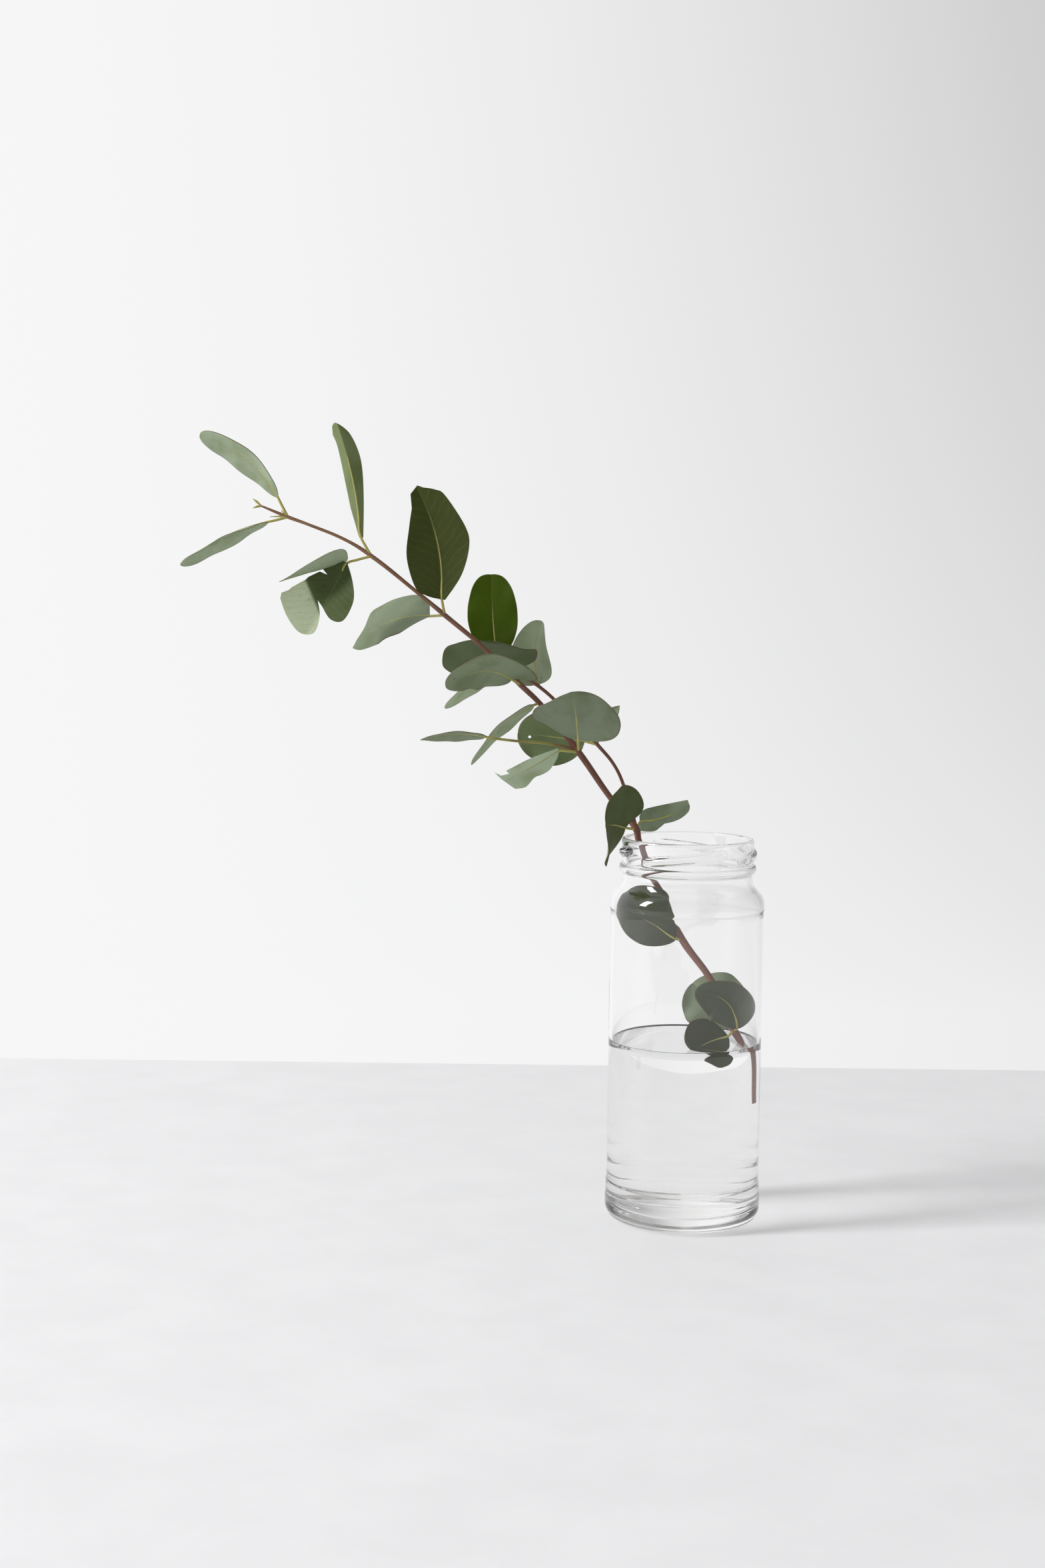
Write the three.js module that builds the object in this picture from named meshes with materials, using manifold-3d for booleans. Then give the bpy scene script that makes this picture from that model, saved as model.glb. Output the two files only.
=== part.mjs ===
// A eucalyptus branch standing in a clear glass twist-off jar that is half full of water.
// Millimetres, +Z up. The jar's axis is Z, its foot stands on z = 0, and -Y is the front.
import * as THREE from "three";
import { mergeVertices } from "three/addons/utils/BufferGeometryUtils.js";
import Module from "manifold-3d";

const wasm = await Module();
wasm.setup();

// Jar
const JAR_HEIGHT = 172;
const BODY_RADIUS = 34.5;
const PANEL_RADIUS = 34.2;
const WALL = 1.9;
const FOOT_RADIUS = 28.6;
const FLOOR_HEIGHT = 6;
const HEEL_TOP = 11;
const PANEL_BOTTOM = 18;
const PANEL_TOP = 140;
const SHOULDER_BOTTOM = 142.5;
const NECK_BOTTOM = 155;
const NECK_RADIUS = 29;
const BEAD_HEIGHT = 158.8;
const BEAD_RADIUS = 30.6;
const FINISH_RADIUS = 29.4;
const FINISH_BOTTOM = BEAD_HEIGHT + 2;
const FINISH_TOP = JAR_HEIGHT - 1.6;
const BORE_RADIUS = 27;
const JAR_SIDES = 48;

// Thread lugs, raised from the wall under the rim
const LUG_COUNT = 4;
const LUG_RELIEF = 1.4;
const LUG_LOW = 162.8;
const LUG_RISE = 4.6;
const LUG_HALF_HEIGHT = 1.9;
const LUG_START = -46;
const LUG_SPAN = 76;
const FINISH_ROWS = 10;

// Water
const WATER_LEVEL = 81;
const MENISCUS = 0.8;
const GAP = 0.3;

// Branch: each point is [x, y, z, radius], from the cut end to the tip
const STEM = [
  [27.5, -8.5, 54.5, 1.5],
  [25, -7, 80, 1.5],
  [21.5, -6, 86.5, 1.75],
  [11.5, -1, 108, 1.5],
  [-1.5, 4, 125.5, 1.7],
  [-13, 9.5, 148.5, 1.45],
  [-21.5, 12.4, 169.5, 1.45],
  [-22.5, 13.8, 174, 1.65],
  [-33.5, 16, 187, 1.35],
  [-49, 18, 208.5, 1.5],
  [-67, 18, 230.5, 1.2],
  [-75.5, 18, 238.5, 1.3],
  [-89.5, 18, 252.5, 1],
  [-110, 17, 269.5, 1.15],
  [-123, 16, 280, 0.85],
  [-143, 15, 295.5, 1],
  [-153.5, 15, 302, 0.75],
  [-172, 14, 309.5, 0.7],
  [-180.5, 14, 312.5, 0.85],
  [-193, 14, 317.5, 0.45],
];
const SIDE_SHOOT = [
  [-22.5, 14, 174.5, 0.9],
  [-27.5, 22, 191.5, 0.8],
  [-32, 26, 201.5, 0.75],
  [-40, 31, 211, 0.9],
  [-51, 37, 222, 0.75],
  [-66.5, 43, 236.5, 0.85],
  [-76.5, 46, 242, 0.7],
  [-84, 48, 247, 0.6],
];
const TWIG = [
  [-50, 17.8, 209.6, 0.75],
  [-63, 15, 212.3, 0.65],
  [-77, 12, 213.5, 0.6],
  [-89, 8, 215, 0.6],
];
const BUD_SPIKES = [
  [[-192.4, 14, 317.2, 0.4], [-194.6, 14, 319.2, 0.55], [-196.2, 14, 320.4, 0.3]],
  [[-192.4, 14, 317.2, 0.4], [-194.4, 13.4, 316.9, 0.55], [-196, 13, 316.2, 0.3]],
  [[-180.5, 14, 312.5, 0.5], [-184.5, 13.4, 312.7, 0.35], [-188.5, 13, 312.5, 0.3]],
  [[-180.5, 14, 312.5, 0.5], [-182, 13.6, 314, 0.35], [-183.5, 13.4, 315.4, 0.3]],
];
const STEM_SIDES = 7;
const TUBE_STEP = 5.5;

// Leaves
const BLADE_HALF = 0.32;
const RIB_HALF = 0.5;
const STALK_RADIUS = 0.62;
const ROOT_GAP = 0.32;
const STALK_OVERRUN = 1.25;
const BLADE_STATIONS = 10;
const ACROSS = [-1, -0.5, 0, 0.5, 1];
const RIPPLE_WAVES = 2.2;
const EAR_PLACE = 0.09;
const CUT_DEPTH = 60;
const MARGIN_STEPS = 2;
const FRONT = new THREE.Vector3(0, -1, 0);

// Where the stalks leave the stem, the shoot and the twig: centre and radius there
const NODES = {
  tip: [-180.5, 14, 312.5, 0.85],
  second: [-143, 15, 295.5, 1],
  third: [-110, 17, 269.5, 1.15],
  fourth: [-75.5, 18, 238.5, 1.3],
  below_fourth: [-67, 18, 230.5, 1.2],
  fifth: [-49, 18, 208.5, 1.5],
  mouth: [-22.5, 13.8, 174, 1.65],
  jar_high: [-1.5, 4, 125.5, 1.7],
  jar_low: [21.5, -6, 86.5, 1.75],
  shoot_low: [-40, 31, 211, 0.9],
  shoot_mid: [-66.5, 43, 236.5, 0.85],
  shoot_high: [-77.5, 46.3, 242.7, 0.7],
  shoot_end: [-84, 48, 247, 0.6],
  twig_end: [-89, 8, 215, 0.6],
};

// One leaf each. base and tip are the ends of the blade's midrib, and bow is how far the midrib's
// control point stands off, towards the face and towards the blade's left. roll turns the face from
// the front, twist winds it from base to tip, fold lifts the left and right halves, and curl bends
// them further out. broad is where the blade is widest, and ends are how full base and tip are.
// ear draws the base's left and right corners back past the stalk. outline is a torn margin seen from
// the front, in x and z: a stretch of several points is a smooth curve, and one point is a corner. cuts
// are holes, and strip is a torn-off half.
const LEAVES = [
  {
    name: "leaf_tip_upper", node: "tip", base: [-185, 13, 321], tip: [-218.5, 5, 348],
    bow: [-2, -4], width: 14, roll: 44, twist: -9, fold: [8, 8], curl: 4,
    broad: 0.53, ends: [0.6, 0.4], ripple: 0.4,
  },
  {
    name: "leaf_tip_lower", node: "tip", base: [-189, 12, 310], tip: [-227.5, 7, 290.5],
    bow: [-1.5, -3], width: 12.5, roll: 69, twist: -9, fold: [30, 26], curl: 0,
    broad: 0.52, ends: [0.65, 0.45], ripple: 0.4,
  },
  {
    name: "leaf_second_upper", node: "second", base: [-148, 14, 303.5], tip: [-160.5, 20.5, 358],
    bow: [-1.5, -2], width: 25, roll: 0, twist: -19, fold: [-58, -38], curl: -13,
    broad: 0.56, ends: [0.5, 0.3], ripple: 0.4,
    outline: [
      [[-149.2, 302.6], [-152.7, 314], [-155.7, 327.8], [-159.2, 344], [-161.6, 349.9]],
      [[-161.8, 353.7], [-159.8, 355], [-154.2, 351], [-150, 342.8], [-148, 334], [-147, 319.5],
       [-146.8, 302.6]],
    ],
  },
  {
    name: "leaf_second_torn", node: "second", base: [-154, 11, 292.5], tip: [-172, -3, 257.5],
    bow: [-2.5, -0.5], width: 46, roll: -22, twist: -21, fold: [16, 9], curl: 3,
    broad: 0.55, ends: [0.5, 0.3], ripple: 0.8,
    outline: [
      [[-154, 293.5], [-150.8, 284], [-150, 275], [-154, 266.8], [-160, 267.3], [-164.8, 273.5],
       [-166.4, 275.6]],
      [[-165.2, 268.5], [-167.2, 261.2], [-173.8, 261.3], [-179.8, 268.2], [-183.2, 276.2]],
      [[-182.8, 278.8]],
      [[-172, 284.8]],
      [[-165.8, 288.4]],
      [[-162.4, 287]],
      [[-164.6, 289.6]],
    ],
    strip: {
      node: "second", base: [-153.5, 12, 294], tip: [-183, 2.5, 283.5],
      bow: [0.5, -1], width: 14.5, roll: 70, twist: 23, fold: [-10, -7], curl: -25,
      broad: 0.25, ends: [0.47, 1.08], ripple: 0,
    },
  },
  {
    name: "leaf_third_upper", node: "third", base: [-111.5, 14, 276.5], tip: [-125.5, 9.5, 331],
    bow: [0, -4.5], width: 39, roll: -1, twist: -10, fold: [11, 21], curl: 3,
    broad: 0.44, ends: [0.42, 0.25], ripple: 0.7,
    outline: [
      [[-111.9, 276.6], [-118, 278.1], [-123.2, 281.8], [-127, 295], [-126, 308.4], [-124.9, 316.7]],
      [[-125.5, 323.1]],
      [[-122.6, 327]],
      [[-119.9, 326.1], [-114.5, 325.2], [-110, 322.6], [-101, 309.2], [-99.1, 300.4],
       [-102.4, 287.7], [-109.8, 276.4]],
    ],
  },
  {
    name: "leaf_third_lower", node: "third", base: [-117, 20, 269], tip: [-156, 35, 251.5],
    bow: [1, -6], width: 29, roll: -43, twist: 25, fold: [26, 4], curl: -14,
    broad: 0.43, ends: [0.36, 0.3], ripple: 0.4,
    outline: [
      [[-116.9, 268.9], [-124.2, 265.1], [-133.3, 259.3], [-141.8, 255.5], [-148.8, 253.2],
       [-152.9, 253.9]],
      [[-151.1, 257.6], [-147.6, 263.4], [-144.8, 270.2], [-139.9, 273.6], [-133.4, 276.7],
       [-124, 278.6], [-117.4, 276.3]],
    ],
  },
  {
    name: "leaf_fourth_front", node: "fourth", base: [-79.5, 13, 241], tip: [-108.5, 1, 237.5],
    bow: [-2.5, -5.5], width: 24, roll: 49, twist: -14, fold: [3, 8], curl: -6,
    broad: 0.42, ends: [0.6, 0.5], ripple: 0.6, ear: [0, 12],
  },
  {
    name: "leaf_fourth_hanging", node: "below_fourth", base: [-69.5, 17, 229.5], tip: [-97.5, 19, 202],
    bow: [-2, -2.5], width: 15, roll: 68, twist: 7, fold: [4, 8], curl: 0,
    broad: 0.42, ends: [0.69, 0.6], ripple: 0.3,
  },
  {
    name: "leaf_fifth_front", node: "fifth", base: [-49.5, 12, 214.5], tip: [-53, -15.5, 237],
    bow: [0.5, -0.5], width: 40, roll: 15, twist: -25, fold: [5, 6], curl: -10,
    broad: 0.45, ends: [0.64, 0.59], ripple: 0.7,
  },
  {
    name: "leaf_fifth_torn", node: "fifth", base: [-58, 13, 209.5], tip: [-88, 5, 194],
    bow: [0.5, 1], width: 22, roll: 37, twist: -6, fold: [12, 14], curl: 4,
    broad: 0.5, ends: [0.4, 0.3], ripple: 0.7,
    outline: [
      [[-57.5, 210.9], [-70.5, 206.4], [-81.6, 200.8]],
      [[-80.2, 199.2]],
      [[-83.9, 198.5]],
      [[-86.8, 200.2]],
      [[-83.5, 196.6]],
      [[-77.5, 192.1], [-72.7, 192.9], [-68.8, 197.1], [-65.2, 198.5], [-61.7, 200.8], [-58.6, 206]],
    ],
  },
  {
    name: "leaf_twig", node: "twig_end", base: [-91, 7.5, 215.5], tip: [-120, 3.5, 214],
    bow: [-1.5, -1], width: 11, roll: 64, twist: -1, fold: [11, 10], curl: 0,
    broad: 0.45, ends: [0.6, 0.95], ripple: 0.2,
  },
  {
    name: "leaf_shoot_top", node: "shoot_end", base: [-87, 50, 250.5], tip: [-90, 58.5, 288.5],
    bow: [0.5, 0.5], width: 23.5, roll: 1, twist: 1, fold: [8, 8], curl: 0,
    broad: 0.49, ends: [0.45, 0.33], ripple: 0.6,
  },
  {
    name: "leaf_shoot_right", node: "shoot_mid", base: [-67.5, 46.5, 238], tip: [-66, 50, 267],
    bow: [0, 2.5], width: 23.5, roll: 6, twist: -30, fold: [6, -66], curl: 10,
    broad: 0.33, ends: [0.6, 0.42], ripple: 0.4,
  },
  {
    name: "leaf_shoot_wide", node: "shoot_high", base: [-87, 47, 240], tip: [-94, 23.5, 258],
    bow: [-2, 0], width: 45, roll: 15, twist: 24, fold: [-2, 8], curl: -11,
    broad: 0.43, ends: [0.64, 0.57], ripple: 0.8,
  },
  {
    name: "leaf_shoot_under", node: "shoot_end", base: [-85.5, 54, 244.5], tip: [-111, 51.5, 226],
    bow: [-0.5, -1], width: 8.5, roll: 39, twist: 9, fold: [10, 13], curl: 3,
    broad: 0.44, ends: [0.65, 0.5], ripple: 0.3,
  },
  {
    name: "leaf_shoot_low_left", node: "shoot_low", base: [-46, 33, 212.5], tip: [-76.5, 37, 216],
    bow: [0.5, 0], width: 26, roll: 0, twist: 0, fold: [11, 12], curl: -3,
    broad: 0.46, ends: [0.5, 0.42], ripple: 0.8,
    cuts: [[[-71.9, 214], [-71.5, 214.6], [-70.8, 214.6], [-70.4, 214], [-70.8, 213.4], [-71.5, 213.4]]],
  },
  {
    name: "leaf_shoot_low_right", node: "shoot_low", base: [-40, 33, 213.5], tip: [-30, 34, 229],
    bow: [0, 0.5], width: 10.5, roll: 32, twist: -1, fold: [12, 14], curl: 10,
    broad: 0.41, ends: [0.75, 0.86], ripple: 0.3,
  },
  {
    name: "leaf_mouth_front", node: "mouth", base: [-27.5, 9.5, 175], tip: [-37.5, -16, 178.5],
    bow: [-1, -0.5], width: 37.5, roll: -1, twist: -28, fold: [12, 2], curl: -9,
    broad: 0.45, ends: [0.55, 0.48], ripple: 0.6, ear: [0, 10],
  },
  {
    name: "leaf_mouth_right", node: "mouth", base: [-20.5, 20, 177], tip: [4.5, 27.5, 185.5],
    bow: [0, -2], width: 19, roll: 0, twist: 1, fold: [-28, -24], curl: -13,
    broad: 0.5, ends: [0.3, 0.22], ripple: 0.7,
    outline: [
      [[-21.5, 177.3], [-19.3, 181.5], [-13.4, 183.4], [-6.3, 184.8], [1.6, 186.4]],
      [[2.6, 183.7], [2.1, 181.1], [-0.9, 178.3], [-5, 176.5], [-9, 175.7]],
      [[-11.1, 173.9], [-13.5, 172.3], [-17.6, 172.1], [-21, 172.4]],
    ],
  },
  {
    name: "leaf_jar_left", node: "jar_high", base: [-4.5, 2, 126], tip: [-25.5, 4.5, 147.5],
    bow: [0.5, 2.5], width: 27, roll: -5, twist: -11, fold: [16, 14], curl: 18,
    broad: 0.58, ends: [0.55, 0.38], ripple: 0.7,
  },
  {
    name: "leaf_jar_front", node: "jar_low", base: [22.5, -9.5, 88], tip: [3, -15, 104.5],
    bow: [-1, -6], width: 22, roll: 5, twist: 8, fold: [14, 20], curl: -3,
    broad: 0.46, ends: [0.6, 0.45], ripple: 0.7,
  },
  {
    name: "leaf_jar_back", node: "jar_low", base: [21, -2.5, 87.5], tip: [4, 9, 105],
    bow: [0.5, -0.5], width: 32, roll: -11, twist: -3, fold: [21, 7], curl: 6,
    broad: 0.48, ends: [0.55, 0.5], ripple: 1,
  },
  {
    name: "leaf_jar_wet", node: "jar_low", base: [18.5, -10, 84.5], tip: [2, -23.5, 80],
    bow: [-1.5, -1.5], width: 24, roll: -28, twist: 4, fold: [6, 4], curl: -12,
    broad: 0.47, ends: [0.6, 0.45], ripple: 0.5,
  },
];

const COLOURS = {
  glass: 0xdfe6e3,
  water: 0xe8efee,
  bark: 0x8a5f52,
  leaf: 0x6d7d66,
};

const radians = THREE.MathUtils.degToRad;

// Turns a closed geometry into a solid that can be joined and cut.
function solidOf(geometry) {
  const bare = geometry.clone();
  bare.deleteAttribute("normal");
  bare.deleteAttribute("uv");
  const merged = mergeVertices(bare, 1e-4);
  const index = merged.index.array;
  const triangles = [];
  for (let i = 0; i < index.length; i += 3) {
    const [a, b, c] = [index[i], index[i + 1], index[i + 2]];
    if (a !== b && b !== c && c !== a) triangles.push(a, b, c);
  }
  return new wasm.Manifold(new wasm.Mesh({
    numProp: 3,
    vertProperties: new Float32Array(merged.attributes.position.array),
    triVerts: new Uint32Array(triangles),
  }));
}

function geometryOf(solid) {
  const mesh = solid.getMesh();
  const geometry = new THREE.BufferGeometry();
  geometry.setAttribute("position", new THREE.BufferAttribute(mesh.vertProperties, 3));
  geometry.setIndex(new THREE.BufferAttribute(mesh.triVerts, 1));
  geometry.computeVertexNormals();
  return geometry;
}

// Skins a row of rings with as many points each and closes both ends. crossed(k) says which quads
// of a ring take the other diagonal.
function loft(rings, crossed = () => false) {
  const count = rings[0].length;
  const index = [];
  for (let i = 0; i + 1 < rings.length; i++) {
    for (let k = 0; k < count; k++) {
      const a = i * count + k;
      const b = i * count + (k + 1) % count;
      const c = b + count;
      const d = a + count;
      if (crossed(k)) index.push(a, b, d, b, c, d);
      else index.push(a, b, c, a, c, d);
    }
  }
  const last = (rings.length - 1) * count;
  for (let k = 1; k + 1 < count; k++) {
    index.push(0, k + 1, k, last, last + k, last + k + 1);
  }
  const geometry = new THREE.BufferGeometry().setFromPoints(rings.flat());
  geometry.setIndex(index);
  return geometry;
}

// A round stem through [x, y, z, radius] points.
function taperedTube(points, swell = 0) {
  const curve = new THREE.CatmullRomCurve3(points.map(([x, y, z]) => new THREE.Vector3(x, y, z)));
  const steps = Math.max(3, Math.round(curve.getLength() / TUBE_STEP));
  const spans = points.length - 1;
  const rings = [];
  const across = new THREE.Vector3(0, 1, 0);
  for (let i = 0; i <= spans * Math.ceil(steps / spans); i++) {
    const t = i / (spans * Math.ceil(steps / spans));
    const along = curve.getTangent(t);
    const overrun = t === 0 ? -swell : t === 1 ? swell : 0;
    const centre = curve.getPoint(t).addScaledVector(along, overrun);
    across.addScaledVector(along, -across.dot(along)).normalize();
    const other = along.clone().cross(across);
    const span = Math.min(spans - 1, Math.floor(t * spans));
    const part = t * spans - span;
    const radius = THREE.MathUtils.lerp(points[span][3], points[span + 1][3], part) + swell;
    const ring = [];
    for (let k = 0; k < STEM_SIDES; k++) {
      const angle = (2 * Math.PI * k) / STEM_SIDES;
      ring.push(centre.clone()
        .addScaledVector(across, radius * Math.cos(angle))
        .addScaledVector(other, radius * Math.sin(angle)));
    }
    rings.push(ring);
  }
  return loft(rings);
}

// The axes of a leaf's blade: along the midrib's chord, out of its face, and to its left.
function bladeAxes(leaf, base, tip) {
  const along = tip.clone().sub(base).normalize();
  const front = FRONT.clone().addScaledVector(along, -FRONT.dot(along)).normalize();
  const left = front.clone().cross(along);
  const roll = radians(leaf.roll);
  const face = front.clone().multiplyScalar(Math.cos(roll)).addScaledVector(left, Math.sin(roll));
  const side = left.clone().multiplyScalar(Math.cos(roll)).addScaledVector(front, -Math.sin(roll));
  return { face, side };
}

// A round ring of the stalk, with its points in the order of a blade ring.
function stalkRing(centre, along, face, radius) {
  const up = face.clone().addScaledVector(along, -face.dot(along)).normalize();
  const side = up.clone().cross(along);
  const at = (angle) => centre.clone()
    .addScaledVector(side, -radius * Math.cos(angle))
    .addScaledVector(up, radius * Math.sin(angle));
  const top = ACROSS.map((_, k) => at(radians(18 + 36 * k)));
  const bottom = ACROSS.map((_, k) => at(radians(-18 - 36 * k)));
  return [...bottom, ...top.reverse()];
}

// A ring across the blade at s, from 0 at its base to 1 at its tip: five points under, five over.
function bladeRing(leaf, midrib, axes, s, swell) {
  const centre = midrib.getPoint(s);
  const along = midrib.getTangent(s);
  const turn = radians(leaf.twist) * (s - 0.5);
  const up = axes.face.clone().multiplyScalar(Math.cos(turn)).addScaledVector(axes.side, Math.sin(turn));
  up.addScaledVector(along, -up.dot(along)).normalize();
  const side = up.clone().cross(along);
  const skew = Math.log(0.5) / Math.log(leaf.broad);
  const fullness = THREE.MathUtils.lerp(leaf.ends[0], leaf.ends[1], s);
  const half = (leaf.width / 2) * Math.sin(Math.PI * s ** skew) ** fullness + swell;
  const top = [];
  const bottom = [];
  for (const w of ACROSS) {
    const reach = Math.abs(w);
    const lift = radians((w > 0 ? leaf.fold[0] : leaf.fold[1]) + (leaf.curl * reach) / 2);
    const wave = leaf.ripple * reach * reach * Math.sin(2 * Math.PI * RIPPLE_WAVES * s + 2 * w);
    const ear = (leaf.ear ?? [0, 0])[w > 0 ? 0 : 1];
    const back = (ear * reach * reach * s) / EAR_PLACE * Math.exp(1 - s / EAR_PLACE);
    const point = centre.clone()
      .addScaledVector(side, half * w * Math.cos(lift))
      .addScaledVector(along, -back)
      .addScaledVector(up, half * reach * Math.sin(lift) + wave);
    const thick = (w === 0 ? THREE.MathUtils.lerp(RIB_HALF, BLADE_HALF, s) : BLADE_HALF) + swell;
    const normal = up.clone().multiplyScalar(Math.cos(lift))
      .addScaledVector(side, -Math.sign(w) * Math.sin(lift));
    top.push(point.clone().addScaledVector(normal, thick));
    bottom.push(point.clone().addScaledVector(normal, -thick));
  }
  return [...bottom, ...top.reverse()];
}

// The stalk's rings, from clear of the wood to a share of the way to the blade.
function stalkRings(leaf, base, axes, share, swell) {
  const [x, y, z, radius] = NODES[leaf.node];
  const node = new THREE.Vector3(x, y, z);
  const stalk = base.clone().sub(node).normalize();
  const root = node.clone().addScaledVector(stalk, radius + ROOT_GAP);
  return [root, root.clone().lerp(base, share)]
    .map((centre) => stalkRing(centre, stalk, axes.face, STALK_RADIUS + swell));
}

// The stalk alone, running on into the blade.
function stalkGeometry(leaf) {
  const base = new THREE.Vector3(...leaf.base);
  const axes = bladeAxes(leaf, base, new THREE.Vector3(...leaf.tip));
  return loft(stalkRings(leaf, base, axes, STALK_OVERRUN, 0));
}

// A stalk and its blade as one skin. swell makes a fatter copy, to cut room for the leaf.
function leafGeometry(leaf, swell = 0) {
  const base = new THREE.Vector3(...leaf.base);
  const tip = new THREE.Vector3(...leaf.tip);
  tip.addScaledVector(tip.clone().sub(base).normalize(), swell);
  const axes = bladeAxes(leaf, base, tip);
  const control = base.clone().add(tip).multiplyScalar(0.5)
    .addScaledVector(axes.face, 2 * leaf.bow[0])
    .addScaledVector(axes.side, 2 * leaf.bow[1]);
  const midrib = new THREE.QuadraticBezierCurve3(base, control, tip);
  const rings = stalkRings(leaf, base, axes, 0.7, swell);
  for (let i = 1; i <= BLADE_STATIONS; i++) {
    const s = (1 - Math.cos((Math.PI * i) / BLADE_STATIONS)) / 2;
    rings.push(bladeRing(leaf, midrib, axes, Math.min(s, 0.996), swell));
  }
  return loft(rings, (k) => k >= ACROSS.length);
}

// A prism right through a leaf, from an outline seen from the front.
function cutter(leaf, stretches) {
  const shape = new THREE.Shape();
  stretches.forEach((stretch, i) => {
    const points = stretch.map(([x, z]) => new THREE.Vector2(x, z));
    const [first, ...others] = points;
    if (i === 0) shape.moveTo(first.x, first.y);
    else if (others.length === 0) shape.lineTo(first.x, first.y);
    if (others.length > 0) shape.splineThru(i === 0 ? others : points);
  });
  const prism = new THREE.ExtrudeGeometry(shape, {
    depth: CUT_DEPTH, bevelEnabled: false, curveSegments: MARGIN_STEPS,
  });
  prism.rotateX(Math.PI / 2).translate(0, leaf.base[1] + CUT_DEPTH / 2, 0);
  return solidOf(prism);
}

// A leaf with its torn margin, its holes and its torn strip, and its root trimmed clear of the wood.
function leafPiece(leaf, wood) {
  let solid = solidOf(leafGeometry(leaf));
  if (leaf.outline) solid = solid.intersect(cutter(leaf, leaf.outline)).add(solidOf(stalkGeometry(leaf)));
  if (leaf.strip) solid = solid.add(solidOf(leafGeometry(leaf.strip)));
  for (const hole of leaf.cuts ?? []) {
    solid = solid.subtract(cutter(leaf, hole.map((corner) => [corner])));
  }
  return geometryOf(solid.subtract(wood));
}

// The jar's section from the axis at the foot, up the outside, over the rim and down the inside.
function jarSection() {
  const inner = BODY_RADIUS - WALL;
  const path = new THREE.Path()
    .moveTo(0, 0)
    .lineTo(FOOT_RADIUS, 0)
    .quadraticCurveTo(BODY_RADIUS + 0.2, 0.6, BODY_RADIUS + 0.3, 7)
    .lineTo(BODY_RADIUS + 0.3, HEEL_TOP - 1)
    .lineTo(BODY_RADIUS, HEEL_TOP)
    .lineTo(BODY_RADIUS, PANEL_BOTTOM - 1)
    .lineTo(PANEL_RADIUS, PANEL_BOTTOM)
    .lineTo(PANEL_RADIUS, PANEL_TOP)
    .lineTo(BODY_RADIUS, PANEL_TOP + 1)
    .lineTo(BODY_RADIUS, SHOULDER_BOTTOM)
    .bezierCurveTo(BODY_RADIUS, NECK_BOTTOM - 6, NECK_RADIUS, SHOULDER_BOTTOM + 6, NECK_RADIUS, NECK_BOTTOM)
    .lineTo(NECK_RADIUS, BEAD_HEIGHT - 2.6)
    .quadraticCurveTo(BEAD_RADIUS, BEAD_HEIGHT - 2.2, BEAD_RADIUS, BEAD_HEIGHT)
    .quadraticCurveTo(BEAD_RADIUS, FINISH_BOTTOM - 0.4, FINISH_RADIUS, FINISH_BOTTOM);
  for (let i = 1; i <= FINISH_ROWS; i++) {
    path.lineTo(FINISH_RADIUS, THREE.MathUtils.lerp(FINISH_BOTTOM, FINISH_TOP, i / FINISH_ROWS));
  }
  return path
    .quadraticCurveTo(FINISH_RADIUS - 0.1, JAR_HEIGHT, FINISH_RADIUS - 1.2, JAR_HEIGHT)
    .quadraticCurveTo(BORE_RADIUS, JAR_HEIGHT, BORE_RADIUS, JAR_HEIGHT - 1.6)
    .lineTo(BORE_RADIUS, NECK_BOTTOM)
    .bezierCurveTo(BORE_RADIUS, SHOULDER_BOTTOM + 5, inner, NECK_BOTTOM - 7, inner, SHOULDER_BOTTOM - 1)
    .lineTo(inner, FLOOR_HEIGHT + 8)
    .quadraticCurveTo(inner, FLOOR_HEIGHT, inner - 8, FLOOR_HEIGHT)
    .lineTo(0, FLOOR_HEIGHT - 0.5);
}

function lathe(path, divisions) {
  return new THREE.LatheGeometry(path.getPoints(divisions), JAR_SIDES).rotateX(Math.PI / 2);
}

// How far the thread stands out at an angle round the jar and a height: sloping lugs, thin at both ends.
function lugRelief(angle, z) {
  const turn = THREE.MathUtils.euclideanModulo(angle - LUG_START, 360 / LUG_COUNT);
  const t = turn / LUG_SPAN;
  if (t >= 1) return 0;
  const body = Math.sin(Math.PI * t) ** 0.6;
  const off = Math.abs(z - LUG_LOW - LUG_RISE * t) / LUG_HALF_HEIGHT;
  return LUG_RELIEF * body * Math.max(0, 1 - off ** 3);
}

function jarGeometry() {
  const geometry = lathe(jarSection(), 3);
  const position = geometry.attributes.position;
  const point = new THREE.Vector3();
  for (let i = 0; i < position.count; i++) {
    point.fromBufferAttribute(position, i);
    const radius = Math.hypot(point.x, point.y);
    const onFinish = Math.abs(radius - FINISH_RADIUS) < 0.01;
    const angle = THREE.MathUtils.radToDeg(Math.atan2(point.x, -point.y));
    const stretch = onFinish ? 1 + lugRelief(angle, point.z) / radius : 1;
    position.setXY(i, point.x * stretch, point.y * stretch);
  }
  return geometryOf(solidOf(geometry));
}

// Water fills the jar to its level, climbs a little at the glass, and leaves room for stem and leaf.
function waterGeometry() {
  const edge = BODY_RADIUS - WALL - GAP;
  const floor = FLOOR_HEIGHT + GAP;
  const section = new THREE.Path()
    .moveTo(0, floor - 0.5)
    .lineTo(edge - 8, floor)
    .quadraticCurveTo(edge, floor, edge, floor + 8)
    .lineTo(edge, WATER_LEVEL + MENISCUS)
    .quadraticCurveTo(edge - 0.4, WATER_LEVEL, edge - 3, WATER_LEVEL)
    .lineTo(0, WATER_LEVEL);
  const wet = LEAVES.find((leaf) => leaf.name === "leaf_jar_wet");
  return geometryOf(solidOf(lathe(section, 3))
    .subtract(solidOf(taperedTube(STEM, GAP)))
    .subtract(solidOf(leafGeometry(wet, 2 * GAP))));
}

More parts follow.
